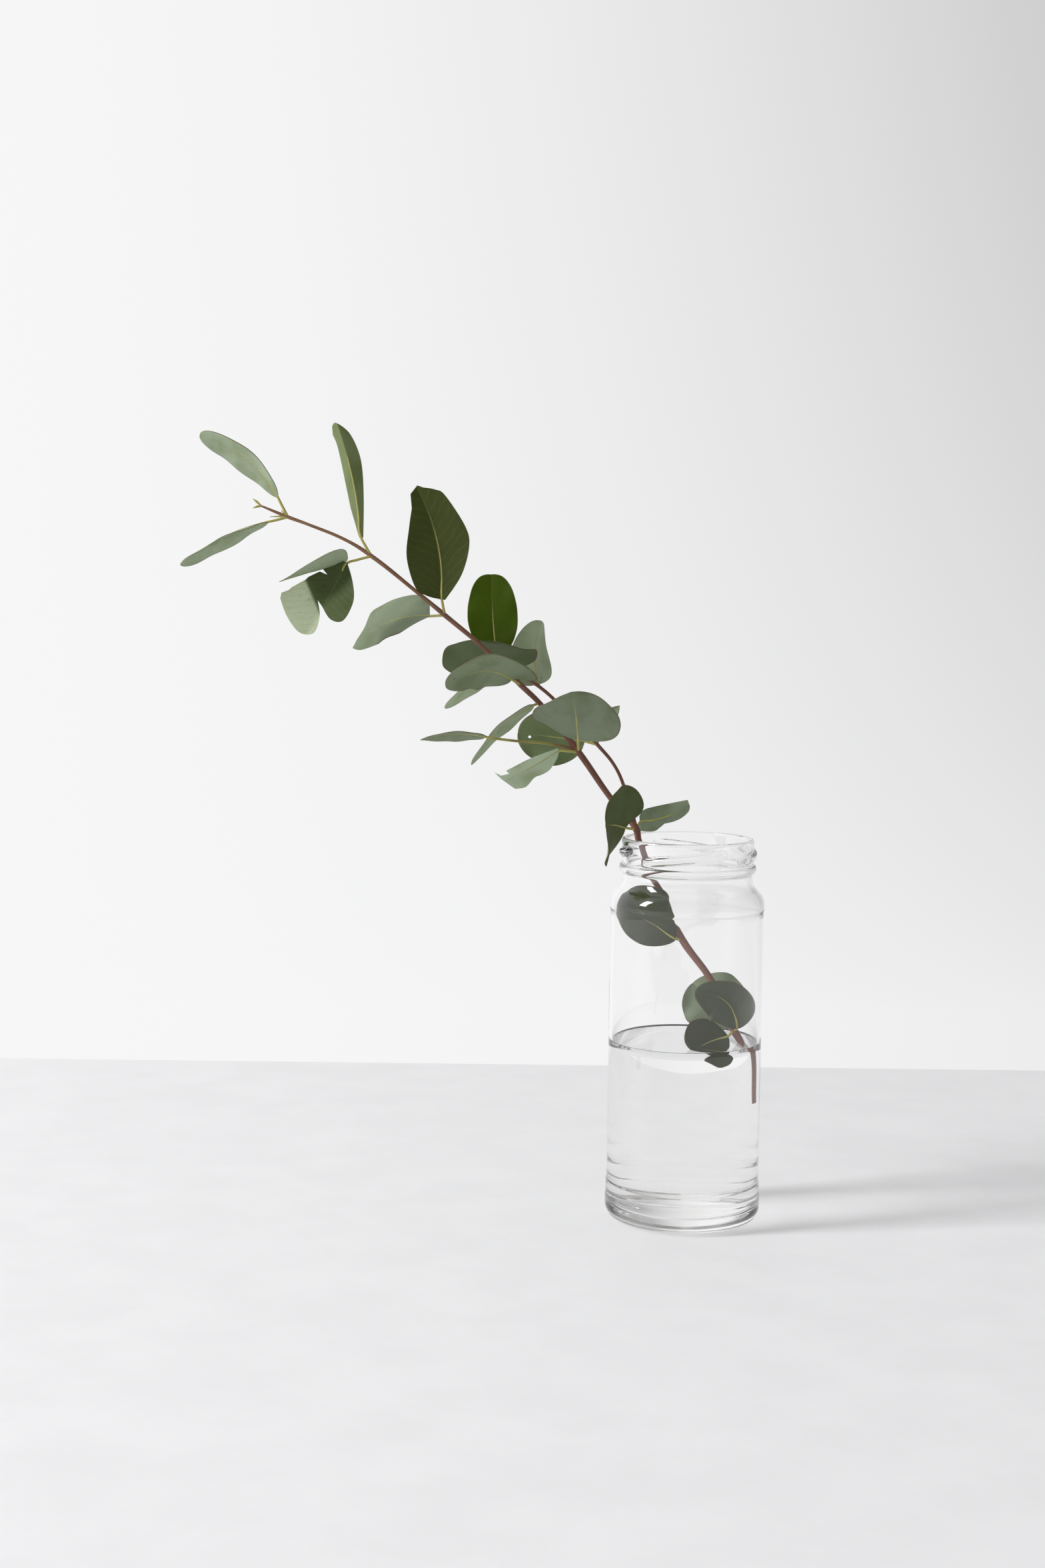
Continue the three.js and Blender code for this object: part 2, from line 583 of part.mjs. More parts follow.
// The stem with its side shoot, twig and bud, grown together. swell makes a fatter copy.
function branchSolid(swell = 0) {
  let branch = solidOf(taperedTube(STEM, swell));
  for (const points of [SIDE_SHOOT, TWIG, ...BUD_SPIKES]) {
    branch = branch.add(solidOf(taperedTube(points, swell)));
  }
  return branch;
}

const part = new THREE.Group();

function addPiece(name, geometry, color, finish) {
  const material = new THREE.MeshStandardMaterial({ color, ...finish });
  const mesh = new THREE.Mesh(geometry, material);
  mesh.name = name;
  part.add(mesh);
}

addPiece("jar", jarGeometry(), COLOURS.glass, { roughness: 0.05, transparent: true, opacity: 0.25 });
addPiece("water", waterGeometry(), COLOURS.water, { roughness: 0.02, transparent: true, opacity: 0.2 });
addPiece("branch", geometryOf(branchSolid()), COLOURS.bark, { roughness: 0.7 });
const wood = branchSolid(GAP);
for (const leaf of LEAVES) {
  addPiece(leaf.name, leafPiece(leaf, wood), COLOURS.leaf, { roughness: 0.55 });
}

export default part;
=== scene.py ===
# A eucalyptus branch in a glass jar of water. Tables are in millimetres, and Blender is in metres.
# The jar's axis is Z, its foot stands on z = 0, and -Y is the front.
from math import atan2, cos, degrees, exp, hypot, log, pi, radians, sin

import bpy
from mathutils import Matrix, Vector, noise


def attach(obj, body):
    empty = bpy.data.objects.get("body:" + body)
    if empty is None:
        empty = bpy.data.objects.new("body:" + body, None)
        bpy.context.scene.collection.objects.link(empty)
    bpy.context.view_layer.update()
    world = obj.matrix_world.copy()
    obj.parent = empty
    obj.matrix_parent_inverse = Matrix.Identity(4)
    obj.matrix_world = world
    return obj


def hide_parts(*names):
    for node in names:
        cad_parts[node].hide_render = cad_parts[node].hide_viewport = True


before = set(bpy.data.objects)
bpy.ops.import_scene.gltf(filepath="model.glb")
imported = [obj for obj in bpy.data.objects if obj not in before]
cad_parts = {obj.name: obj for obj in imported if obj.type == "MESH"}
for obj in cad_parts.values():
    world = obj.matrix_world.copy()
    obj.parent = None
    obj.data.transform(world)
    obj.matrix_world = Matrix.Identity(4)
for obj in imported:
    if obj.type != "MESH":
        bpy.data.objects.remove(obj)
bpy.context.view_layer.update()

MM = 0.001
FRONT = Vector((0, -1, 0))

# Jar
JAR_HEIGHT = 172
BODY_RADIUS = 34.5
HEEL_RADIUS = 34.8
PANEL_RADIUS = 34.2
WALL = 1.9
FOOT_RADIUS = 28.6
FLOOR_HEIGHT = 6
FLOOR_DIP = 0.5
FLOOR_CORNER = 8
HEEL_FULL = 7
HEEL_TOP = 11
PANEL_BOTTOM = 18
PANEL_TOP = 140
SHOULDER_BOTTOM = 142.5
NECK_BOTTOM = 155
NECK_RADIUS = 29
SHOULDER_LEAN = 2.5
BEAD_HEIGHT = 158.8
BEAD_RADIUS = 30.6
FINISH_RADIUS = 29.4
FINISH_BOTTOM = BEAD_HEIGHT + 2
FINISH_TOP = JAR_HEIGHT - 1.6
RIM_RADIUS = FINISH_RADIUS - 1.2
BORE_RADIUS = 27
JAR_TURNS = 192
FINISH_ROWS = 26
WALL_ROWS = 40
WALL_WAVES = 0.07
ON_WALL = 0.02

# Thread lugs, raised from the wall under the rim
LUG_COUNT = 4
LUG_RELIEF = 1.4
LUG_LOW = 162.8
LUG_RISE = 4.6
LUG_HALF_HEIGHT = 1.9
LUG_START = -46
LUG_SPAN = 76

# Water
WATER_LEVEL = 81
MENISCUS = 0.4
MENISCUS_WIDTH = 1.2
WATER_IN_GLASS = 0.2

# Branch: each point is [x, y, z, radius], from the cut end to the tip
STEM = [
    [27.5, -8.5, 54.5, 1.5],
    [25, -7, 80, 1.5],
    [21.5, -6, 86.5, 1.75],
    [11.5, -1, 108, 1.5],
    [-1.5, 4, 125.5, 1.7],
    [-13, 9.5, 148.5, 1.45],
    [-21.5, 12.4, 169.5, 1.45],
    [-22.5, 13.8, 174, 1.65],
    [-33.5, 16, 187, 1.35],
    [-49, 18, 208.5, 1.5],
    [-67, 18, 230.5, 1.2],
    [-75.5, 18, 238.5, 1.3],
    [-89.5, 18, 252.5, 1],
    [-110, 17, 269.5, 1.15],
    [-123, 16, 280, 0.85],
    [-143, 15, 295.5, 1],
    [-153.5, 15, 302, 0.75],
    [-172, 14, 309.5, 0.7],
    [-180.5, 14, 312.5, 0.85],
    [-193, 14, 317.5, 0.45],
]
SIDE_SHOOT = [
    [-22.5, 14, 174.5, 0.9],
    [-27.5, 22, 191.5, 0.8],
    [-32, 26, 201.5, 0.75],
    [-40, 31, 211, 0.9],
    [-51, 37, 222, 0.75],
    [-66.5, 43, 236.5, 0.85],
    [-76.5, 46, 242, 0.7],
    [-84, 48, 247, 0.6],
]
TWIG = [
    [-50, 17.8, 209.6, 0.75],
    [-63, 15, 212.3, 0.65],
    [-77, 12, 213.5, 0.6],
    [-89, 8, 215, 0.6],
]
BUD_SPIKES = [
    [[-192.4, 14, 317.2, 0.4], [-194.6, 14, 319.2, 0.55], [-196.2, 14, 320.4, 0.15]],
    [[-192.4, 14, 317.2, 0.4], [-194.4, 13.4, 316.9, 0.55], [-196, 13, 316.2, 0.15]],
    [[-180.5, 14, 312.5, 0.5], [-184.5, 13.4, 312.7, 0.35], [-188.5, 13, 312.5, 0.15]],
    [[-180.5, 14, 312.5, 0.5], [-182, 13.6, 314, 0.35], [-183.5, 13.4, 315.4, 0.15]],
]

# Leaves
BLADE_THICKNESS = 0.36
STALK_RADIUS = 0.62
STALK_MIDDLE = 0.55
RIB_RADIUS = 0.3
RIB_DROP = 0.16
RIB_PLACES = (0.02, 0.2, 0.42)
RIB_END = 0.66
CELLS_ACROSS = 24
CELLS_ALONG = 44
RIPPLE_WAVES = 2.2
MARGIN_WAVER = 0.025
DENT_DEPTH = 0.4
GROOVE_DEPTH = 0.14
GROOVE_WIDTH = 0.8
FULL_RELIEF = 3
EAR_PLACE = 0.09
CUT_DEPTH = 60
CURVE_STEPS = 6
SMOOTH_ANGLE = 50
SEED_STEP = 7.3

# The torn leaf's crease: x + slope * z is this along it. Left of it a paler lobe is painted on, as painted
# light.
CREASE_SLOPE = 0.479
CREASE_PLACE = -35.6

# Where the stalks leave the stem, the shoot and the twig
NODES = {
    "tip": (-180.5, 14, 312.5),
    "second": (-143, 15, 295.5),
    "third": (-110, 17, 269.5),
    "fourth": (-75.5, 18, 238.5),
    "below_fourth": (-67, 18, 230.5),
    "fifth": (-49, 18, 208.5),
    "mouth": (-22.5, 13.8, 174),
    "jar_high": (-1.5, 4, 125.5),
    "jar_low": (21.5, -6, 86.5),
    "shoot_low": (-40, 31, 211),
    "shoot_mid": (-66.5, 43, 236.5),
    "shoot_high": (-77.5, 46.3, 242.7),
    "shoot_end": (-84, 48, 247),
    "twig_end": (-89, 8, 215),
}

# One leaf each, by the same measures as the solids: the blade's midrib runs from base to tip, bow is
# how far its control point stands off, roll turns the face from the front, twist winds it, fold lifts
# the left and right halves, curl bends them further, broad is where the blade is widest, and ends are
# how full base and tip are. ear draws the base's left and right corners back past the stalk, outline
# is a margin in x and z, as smooth stretches and corners, cuts are holes, strip is a torn-off half, and
# rib is where the raised midrib ends.
LEAVES = {
    "tip_upper": dict(
        node="tip", base=(-185, 13, 321), tip=(-218.5, 5, 348), bow=(-2, -4), width=14, roll=44,
        twist=-9, fold=(8, 8), curl=4, broad=0.53, ends=(0.6, 0.4), ripple=0.4, finish="pale"),
    "tip_lower": dict(
        node="tip", base=(-189, 12, 310), tip=(-227.5, 7, 290.5), bow=(-1.5, -3), width=12.5, roll=69,
        twist=-9, fold=(30, 26), curl=0, broad=0.52, ends=(0.65, 0.45), ripple=0.4, finish="pale"),
    "second_upper": dict(
        node="second", base=(-148, 14, 303.5), tip=(-160.5, 20.5, 358), bow=(-1.5, -2), width=25, roll=0,
        twist=-19, fold=(-58, -38), curl=-13, broad=0.56, ends=(0.5, 0.3), ripple=0.4, finish="fresh",
        outline=[
            [(-149.2, 302.6), (-152.7, 314), (-155.7, 327.8), (-159.2, 344), (-161.6, 349.9)],
            [(-161.8, 353.7), (-159.8, 355), (-154.2, 351), (-150, 342.8), (-148, 334), (-147, 319.5),
             (-146.8, 302.6)],
        ]),
    "second_torn": dict(
        node="second", base=(-154, 11, 292.5), tip=(-172, -3, 257.5), bow=(-2.5, -0.5), width=46,
        roll=-22, twist=-21, fold=(16, 9), curl=3, broad=0.55, ends=(0.5, 0.3), ripple=0.8,
        finish="creased", rib=0.1,
        outline=[
            [(-154, 293.5), (-150.8, 284), (-150, 275), (-154, 266.8), (-160, 267.3), (-164.8, 273.5),
             (-166.4, 275.6)],
            [(-166.4, 275.6), (-165.2, 268.5), (-167.2, 261.2), (-173.8, 261.3), (-179.8, 268.2),
             (-183.2, 276.2)],
            [(-182.8, 278.8)],
            [(-179.6, 280)],
            [(-178.4, 281.2)],
            [(-172, 284.8)],
            [(-170.8, 286)],
            [(-165.8, 288.4)],
            [(-162.4, 287)],
            [(-164.6, 289.6)],
        ],
        strip=dict(
            node="second", base=(-153.5, 12, 294), tip=(-183, 2.5, 283.5), bow=(0.5, -1), width=14.5,
            roll=70, twist=23, fold=(-10, -7), curl=-25, broad=0.25, ends=(0.47, 1.08), ripple=0)),
    "third_upper": dict(
        node="third", base=(-111.5, 14, 276.5), tip=(-125.5, 9.5, 331), bow=(0, -4.5), width=39, roll=-1,
        twist=-10, fold=(11, 21), curl=3, broad=0.44, ends=(0.42, 0.25), ripple=0.7, finish="olive",
        outline=[
            [(-111.9, 276.6), (-118, 278.1), (-123.2, 281.8), (-127, 295), (-126, 308.4),
             (-124.9, 316.7)],
            [(-125.5, 323.1)],
            [(-122.6, 327)],
            [(-119.9, 326.1), (-114.5, 325.2), (-110, 322.6), (-101, 309.2), (-99.1, 300.4),
             (-102.4, 287.7), (-109.8, 276.4)],
        ]),
    "third_lower": dict(
        node="third", base=(-117, 20, 269), tip=(-156, 35, 251.5), bow=(1, -6), width=29, roll=-43,
        twist=25, fold=(26, 4), curl=-14, broad=0.43, ends=(0.36, 0.3), ripple=0.4, finish="grey",
        outline=[
            [(-116.9, 268.9), (-124.2, 265.1), (-133.3, 259.3), (-141.8, 255.5), (-148.8, 253.2),
             (-152.9, 253.9)],
            [(-151.1, 257.6), (-147.6, 263.4), (-144.8, 270.2), (-139.9, 273.6), (-133.4, 276.7),
             (-124, 278.6), (-117.4, 276.3)],
        ]),
    "fourth_front": dict(
        node="fourth", base=(-79.5, 13, 241), tip=(-108.5, 1, 237.5), bow=(-2.5, -5.5), width=24, roll=49,
        twist=-14, fold=(3, 8), curl=-6, broad=0.42, ends=(0.6, 0.5), ripple=0.6, ear=(0, 12),
        finish="grey"),
    "fourth_hanging": dict(
        node="below_fourth", base=(-69.5, 17, 229.5), tip=(-97.5, 19, 202), bow=(-2, -2.5), width=15,
        roll=68, twist=7, fold=(4, 8), curl=0, broad=0.42, ends=(0.69, 0.6), ripple=0.3, finish="pale"),
    "fifth_front": dict(
        node="fifth", base=(-49.5, 12, 214.5), tip=(-53, -15.5, 237), bow=(0.5, -0.5), width=40, roll=15,
        twist=-25, fold=(5, 6), curl=-10, broad=0.45, ends=(0.64, 0.59), ripple=0.7, finish="slate"),
    "fifth_torn": dict(
        node="fifth", base=(-58, 13, 209.5), tip=(-88, 5, 194), bow=(0.5, 1), width=22, roll=37,
        twist=-6, fold=(12, 14), curl=4, broad=0.5, ends=(0.4, 0.3), ripple=0.7, finish="silver",
        outline=[
            [(-57.5, 210.9), (-70.5, 206.4), (-81.6, 200.8)],
            [(-80.2, 199.2)],
            [(-83.9, 198.5)],
            [(-86.8, 200.2)],
            [(-83.5, 196.6)],
            [(-77.5, 192.1), (-72.7, 192.9), (-68.8, 197.1), (-65.2, 198.5), (-61.7, 200.8),
             (-58.6, 206)],
        ]),
    "twig": dict(
        node="twig_end", base=(-91, 7.5, 215.5), tip=(-120, 3.5, 214), bow=(-1.5, -1), width=11, roll=64,
        twist=-1, fold=(11, 10), curl=0, broad=0.45, ends=(0.6, 0.95), ripple=0.2, finish="grey"),
    "shoot_top": dict(
        node="shoot_end", base=(-87, 50, 250.5), tip=(-90, 58.5, 288.5), bow=(0.5, 0.5), width=23.5,
        roll=1, twist=1, fold=(8, 8), curl=0, broad=0.49, ends=(0.45, 0.33), ripple=0.6, finish="lit"),
    "shoot_right": dict(
        node="shoot_mid", base=(-67.5, 46.5, 238), tip=(-66, 50, 267), bow=(0, 2.5), width=23.5, roll=6,
        twist=-30, fold=(6, -66), curl=10, broad=0.33, ends=(0.6, 0.42), ripple=0.4, finish="pale"),
    "shoot_wide": dict(
        node="shoot_high", base=(-87, 47, 240), tip=(-94, 23.5, 258), bow=(-2, 0), width=45, roll=15,
        twist=24, fold=(-2, 8), curl=-11, broad=0.43, ends=(0.64, 0.57), ripple=0.8, finish="deep"),
    "shoot_under": dict(
        node="shoot_end", base=(-85.5, 54, 244.5), tip=(-111, 51.5, 226), bow=(-0.5, -1), width=8.5,
        roll=39, twist=9, fold=(10, 13), curl=3, broad=0.44, ends=(0.65, 0.5), ripple=0.3, finish="silver"),
    "shoot_low_left": dict(
        node="shoot_low", base=(-46, 33, 212.5), tip=(-76.5, 37, 216), bow=(0.5, 0), width=26, roll=0,
        twist=0, fold=(11, 12), curl=-3, broad=0.46, ends=(0.5, 0.42), ripple=0.8, finish="mid",
        cuts=[
            [(-71.9, 214), (-71.5, 214.6), (-70.8, 214.6), (-70.4, 214), (-70.8, 213.4), (-71.5, 213.4)],
        ]),
    "shoot_low_right": dict(
        node="shoot_low", base=(-40, 33, 213.5), tip=(-30, 34, 229), bow=(0, 0.5), width=10.5, roll=32,
        twist=-1, fold=(12, 14), curl=10, broad=0.41, ends=(0.75, 0.86), ripple=0.3, finish="grey"),
    "mouth_front": dict(
        node="mouth", base=(-27.5, 9.5, 175), tip=(-37.5, -16, 178.5), bow=(-1, -0.5), width=37.5,
        roll=-1, twist=-28, fold=(12, 2), curl=-9, broad=0.45, ends=(0.55, 0.48), ripple=0.6, ear=(0, 10),
        finish="dusky"),
    "mouth_right": dict(
        node="mouth", base=(-20.5, 20, 177), tip=(4.5, 27.5, 185.5), bow=(0, -2), width=19, roll=0,
        twist=1, fold=(-28, -24), curl=-13, broad=0.5, ends=(0.3, 0.22), ripple=0.7, finish="grey",
        outline=[
            [(-21.5, 177.3), (-19.3, 181.5), (-13.4, 183.4), (-6.3, 184.8), (1.6, 186.4)],
            [(2.6, 183.7), (2.1, 181.1), (-0.9, 178.3), (-5, 176.5), (-9, 175.7)],
            [(-11.1, 173.9), (-13.5, 172.3), (-17.6, 172.1), (-21, 172.4)],
        ]),
    # The three leaves inside the jar take the shaded and inner finishes, darker greens that are painted
    # shade.
    "jar_left": dict(
        node="jar_high", base=(-4.5, 2, 126), tip=(-25.5, 4.5, 147.5), bow=(0.5, 2.5), width=27, roll=-5,
        twist=-11, fold=(16, 14), curl=18, broad=0.58, ends=(0.55, 0.38), ripple=0.7, finish="inner"),
    "jar_front": dict(
        node="jar_low", base=(22.5, -9.5, 88), tip=(3, -15, 104.5), bow=(-1, -6), width=22, roll=5,
        twist=8, fold=(14, 20), curl=-3, broad=0.46, ends=(0.6, 0.45), ripple=0.7, finish="shaded"),
    "jar_back": dict(
        node="jar_low", base=(21, -2.5, 87.5), tip=(4, 9, 105), bow=(0.5, -0.5), width=32, roll=-11,
        twist=-3, fold=(21, 7), curl=6, broad=0.48, ends=(0.55, 0.5), ripple=1, finish="grey"),
    "jar_wet": dict(
        node="jar_low", base=(18.5, -10, 84.5), tip=(2, -23.5, 80), bow=(-1.5, -1.5), width=24,
        roll=-28, twist=4, fold=(6, 4), curl=-12, broad=0.47, ends=(0.6, 0.45), ripple=0.5,
        finish="inner"),
}

# What all leaf finishes share: pattern sizes by the metre, veins along a blade, colours and relief
BLOOM_CLOUDS = 90.0
GRAIN = 900.0
GRAIN_SHARE = 0.14
VEIN_COUNT = 13.0
VEIN_SLANT = -3.4
VEIN_WANDER = 1.1
VEIN_COLOUR = (0.42, 0.45, 0.25)
VEIN_SHARE = 0.16
RIB_COLOUR = (0.4, 0.42, 0.17)
RIB_GLOW = (0.3, 0.32, 0.1)
RIB_SHARE = 0.6
MARGIN_COLOUR = (0.14, 0.075, 0.04)
MARGIN_SHARE = 0.6
SPECK_CELLS = 260.0
SPECK_COLOUR = (0.05, 0.035, 0.02)
NET_CELLS = 700.0
LEAF_BUMP = 0.22
LEAF_BUMP_DEPTH = 0.25
PLANT_IOR = 1.45
LEAF_SHINE = 0.28

# Leaf finishes: the green under the bloom, the waxy bloom and how thick it lies, and the colour and
# share of the light that comes through from behind. The torn leaf also has a paler colour painted left of
# its crease, as painted light where that lobe faces the lamp.
LEAF_FINISHES = {
    "pale": dict(green=(0.25, 0.32, 0.16), bloom=(0.48, 0.56, 0.41), cover=0.85,
                 through=(0.4, 0.48, 0.16), share=0.22),
    "fresh": dict(green=(0.14, 0.18, 0.05), bloom=(0.28, 0.325, 0.175), cover=0.7,
                  through=(0.42, 0.5, 0.1), share=0.35),
    "grey": dict(green=(0.15, 0.19, 0.1), bloom=(0.28, 0.335, 0.23), cover=0.8,
                 through=(0.3, 0.38, 0.12), share=0.18),
    "slate": dict(green=(0.125, 0.158, 0.083), bloom=(0.232, 0.278, 0.19), cover=0.8,
                  through=(0.25, 0.32, 0.1), share=0.18),
    "deep": dict(green=(0.08, 0.11, 0.038), bloom=(0.155, 0.19, 0.11), cover=0.6,
                 through=(0.2, 0.26, 0.05), share=0.25),
    "silver": dict(green=(0.31, 0.4, 0.2), bloom=(0.6, 0.7, 0.52), cover=0.85,
                   through=(0.4, 0.48, 0.16), share=0.22),
    "mid": dict(green=(0.115, 0.16, 0.055), bloom=(0.22, 0.27, 0.155), cover=0.6,
                through=(0.25, 0.32, 0.06), share=0.25),
    "dusky": dict(green=(0.065, 0.09, 0.02), bloom=(0.115, 0.14, 0.055), cover=0.6,
                  through=(0.16, 0.21, 0.03), share=0.25),
    # shaded and inner are darker greens for the leaves inside the jar: painted shade.
    "shaded": dict(green=(0.05, 0.066, 0.028), bloom=(0.1, 0.12, 0.075), cover=0.6,
                   through=(0.12, 0.15, 0.03), share=0.2),
    "inner": dict(green=(0.035, 0.045, 0.014), bloom=(0.055, 0.065, 0.03), cover=0.5,
                  through=(0.09, 0.12, 0.015), share=0.25),
    "olive": dict(green=(0.05, 0.066, 0.012), bloom=(0.08, 0.09, 0.02), cover=0.5,
                  through=(0.16, 0.21, 0.012), share=0.4),
    "lit": dict(green=(0.05, 0.08, 0.004), bloom=(0.08, 0.11, 0.006), cover=0.2,
                through=(0.27, 0.38, 0.002), share=0.62),
    # The torn leaf: its lobe colour is painted light, paler left of its crease where that lobe faces the
    # lamp.
    "creased": dict(green=(0.06, 0.085, 0.02), bloom=(0.1, 0.13, 0.055), cover=0.5,
                    through=(0.16, 0.21, 0.03), share=0.3, painted_lit_lobe=(0.55, 0.62, 0.42), rib_share=0.12),
}

# Wood finishes: old and young colour, and where along X the young turns to the old
WOOD_FINISHES = {
    "leaf_stalk": dict(old=(0.4, 0.37, 0.1), young=(0.4, 0.37, 0.1), low=0, high=1),
    "red_bark": dict(old=(0.17, 0.068, 0.045), young=(0.24, 0.13, 0.065), low=-190, high=-60),
    "green_twig": dict(old=(0.2, 0.1, 0.05), young=(0.32, 0.3, 0.08), low=-66, high=-52),
}
BARK_PATCHES = 120.0
BARK_FLECKS = 1100.0
BARK_BUMP = 0.4
BARK_BUMP_DEPTH = 0.2

# Clear finishes: tint, refractive index, and how much lamplight is left where it grazes a wall
GLASS = dict(tint=(1, 1, 1), ior=1.5, edge_shade=0.55)
STILL_WATER = dict(tint=(1, 1, 0.995), ior=1.333, edge_shade=0.8)
CLEAR_SMEARS = 60.0

# Camera, as a 50 mm lens on a 36 mm sensor
CAMERA_PLACE = (-74.2, -966, 276)
CAMERA_PITCH = 4.784
CAMERA_ROLL = 0.68
LENS = 50
SENSOR = 36
NEAREST = 10

# Floor and light
FLOOR_LEVEL = -0.2
FLOOR_BACK = 320
FLOOR_REACH = 4000
FLOOR_DULL = (0.84, 0.84, 0.85)
FLOOR_PALE = (0.87, 0.87, 0.88)
FLOOR_MOTTLE = 25.0
WALL_LIGHT = 0.93
WINDOW_PLACE = (-2600, -700, 1700)
WINDOW_AIM = (0, 0, 100)
WINDOW_SIZE = (600, 1600)
WINDOW_POWER = 72
ROOM_ON_PIECES = 0.85
ROOM_IN_GLASS = 0.4
ROOM_COLOUR = (1, 1, 1.005, 1)
GLASS_BOUNCES = 24

# How the room darkens to the right and upwards: slope and start of the fall, its power, what it takes
# off and the most it takes off. Upwards it also has a least share. Behind the viewer all is dimmer.
RIGHT_SLOPE = 1.92
RIGHT_START = 0.58
RIGHT_POWER = 2.2
RIGHT_LOSS = 0.31
RIGHT_MOST = 0.45
UP_SLOPE = 2.33
UP_START = 0.42
UP_POWER = 0.7
UP_LOSS = 0.75
UP_LEAST = 0.25
UP_MOST = 1.1
ROOM_BEHIND = 0.85

# Points nearer than this are one
MERGE_DISTANCE = 0.002


def begin():
    """Leaves edit mode and deselects everything, so that the next operator acts on its own piece."""
    if bpy.context.object and bpy.context.object.mode != "OBJECT":
        bpy.ops.object.mode_set(mode="OBJECT")
    bpy.ops.object.select_all(action="DESELECT")


def pick(piece, *others):
    """Selects pieces, with the first one active."""
    begin()
    for each in (piece, *others):
        each.select_set(True)
    bpy.context.view_layer.objects.active = piece


def mend(piece, closed=True):
    """Merges doubled points and, on a closed piece, turns all faces outwards."""
    pick(piece)
    bpy.ops.object.mode_set(mode="EDIT")
    bpy.ops.mesh.select_all(action="SELECT")
    bpy.ops.mesh.remove_doubles(threshold=MERGE_DISTANCE * MM)
    if closed:
        bpy.ops.mesh.normals_make_consistent(inside=False)
    bpy.ops.object.mode_set(mode="OBJECT")


def apply_modifier(piece, kind, **settings):
    """Adds one modifier, sets it and applies it."""
    pick(piece)
    modifier = piece.modifiers.new(kind.lower(), kind)
    for name, value in settings.items():
        setattr(modifier, name, value)
    bpy.ops.object.modifier_apply(modifier=modifier.name)


def hand_in(piece, node):
    """The finished piece stands for a node and rides on the one body."""
    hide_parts(node)
    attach(piece, "root")


def mix(a, b, t):
    return a + (b - a) * t


# Nodes

def add_node(tree, kind, values=None, **settings):
    """A node with its settings, and with values or links on its inputs."""
    node = tree.nodes.new(kind)
    for name, value in settings.items():
        setattr(node, name, value)
    for name, value in (values or {}).items():
        if isinstance(value, bpy.types.NodeSocket):
            tree.links.new(value, node.inputs[name])
        else:
            node.inputs[name].default_value = value
    return node


def calculate(tree, operation, *numbers):
    values = dict(enumerate(numbers))
    return add_node(tree, "ShaderNodeMath", values, operation=operation).outputs[0]


def blend_colour(tree, factor, a, b):
    """Colour a turning to b by the factor."""
    node = add_node(tree, "ShaderNodeMix", {0: factor}, data_type="RGBA")
    for index, colour in ((6, a), (7, b)):
        if isinstance(colour, bpy.types.NodeSocket):
            tree.links.new(colour, node.inputs[index])
        else:
            node.inputs[index].default_value = (*colour, 1)
    return node.outputs[2]


def spread(tree, value, low, high, to_low=0.0, to_high=1.0):
    """Takes a value from one range to another, eased and held at both ends."""
    values = {"Value": value, "From Min": low, "From Max": high, "To Min": to_low, "To Max": to_high}
    return add_node(tree, "ShaderNodeMapRange", values, interpolation_type="SMOOTHSTEP").outputs[0]


def cloudy(tree, vector, scale, detail=3.0, roughness=0.55):
    values = {"Vector": vector, "Scale": scale, "Detail": detail, "Roughness": roughness}
    return add_node(tree, "ShaderNodeTexNoise", values).outputs["Fac"]


def new_finish(name):
    finish = bpy.data.materials.new(name)
    finish.use_nodes = True
    finish.node_tree.nodes.clear()
    return finish


def show(tree, shader):
    output = add_node(tree, "ShaderNodeOutputMaterial")
    tree.links.new(shader, output.inputs["Surface"])


# Finishes

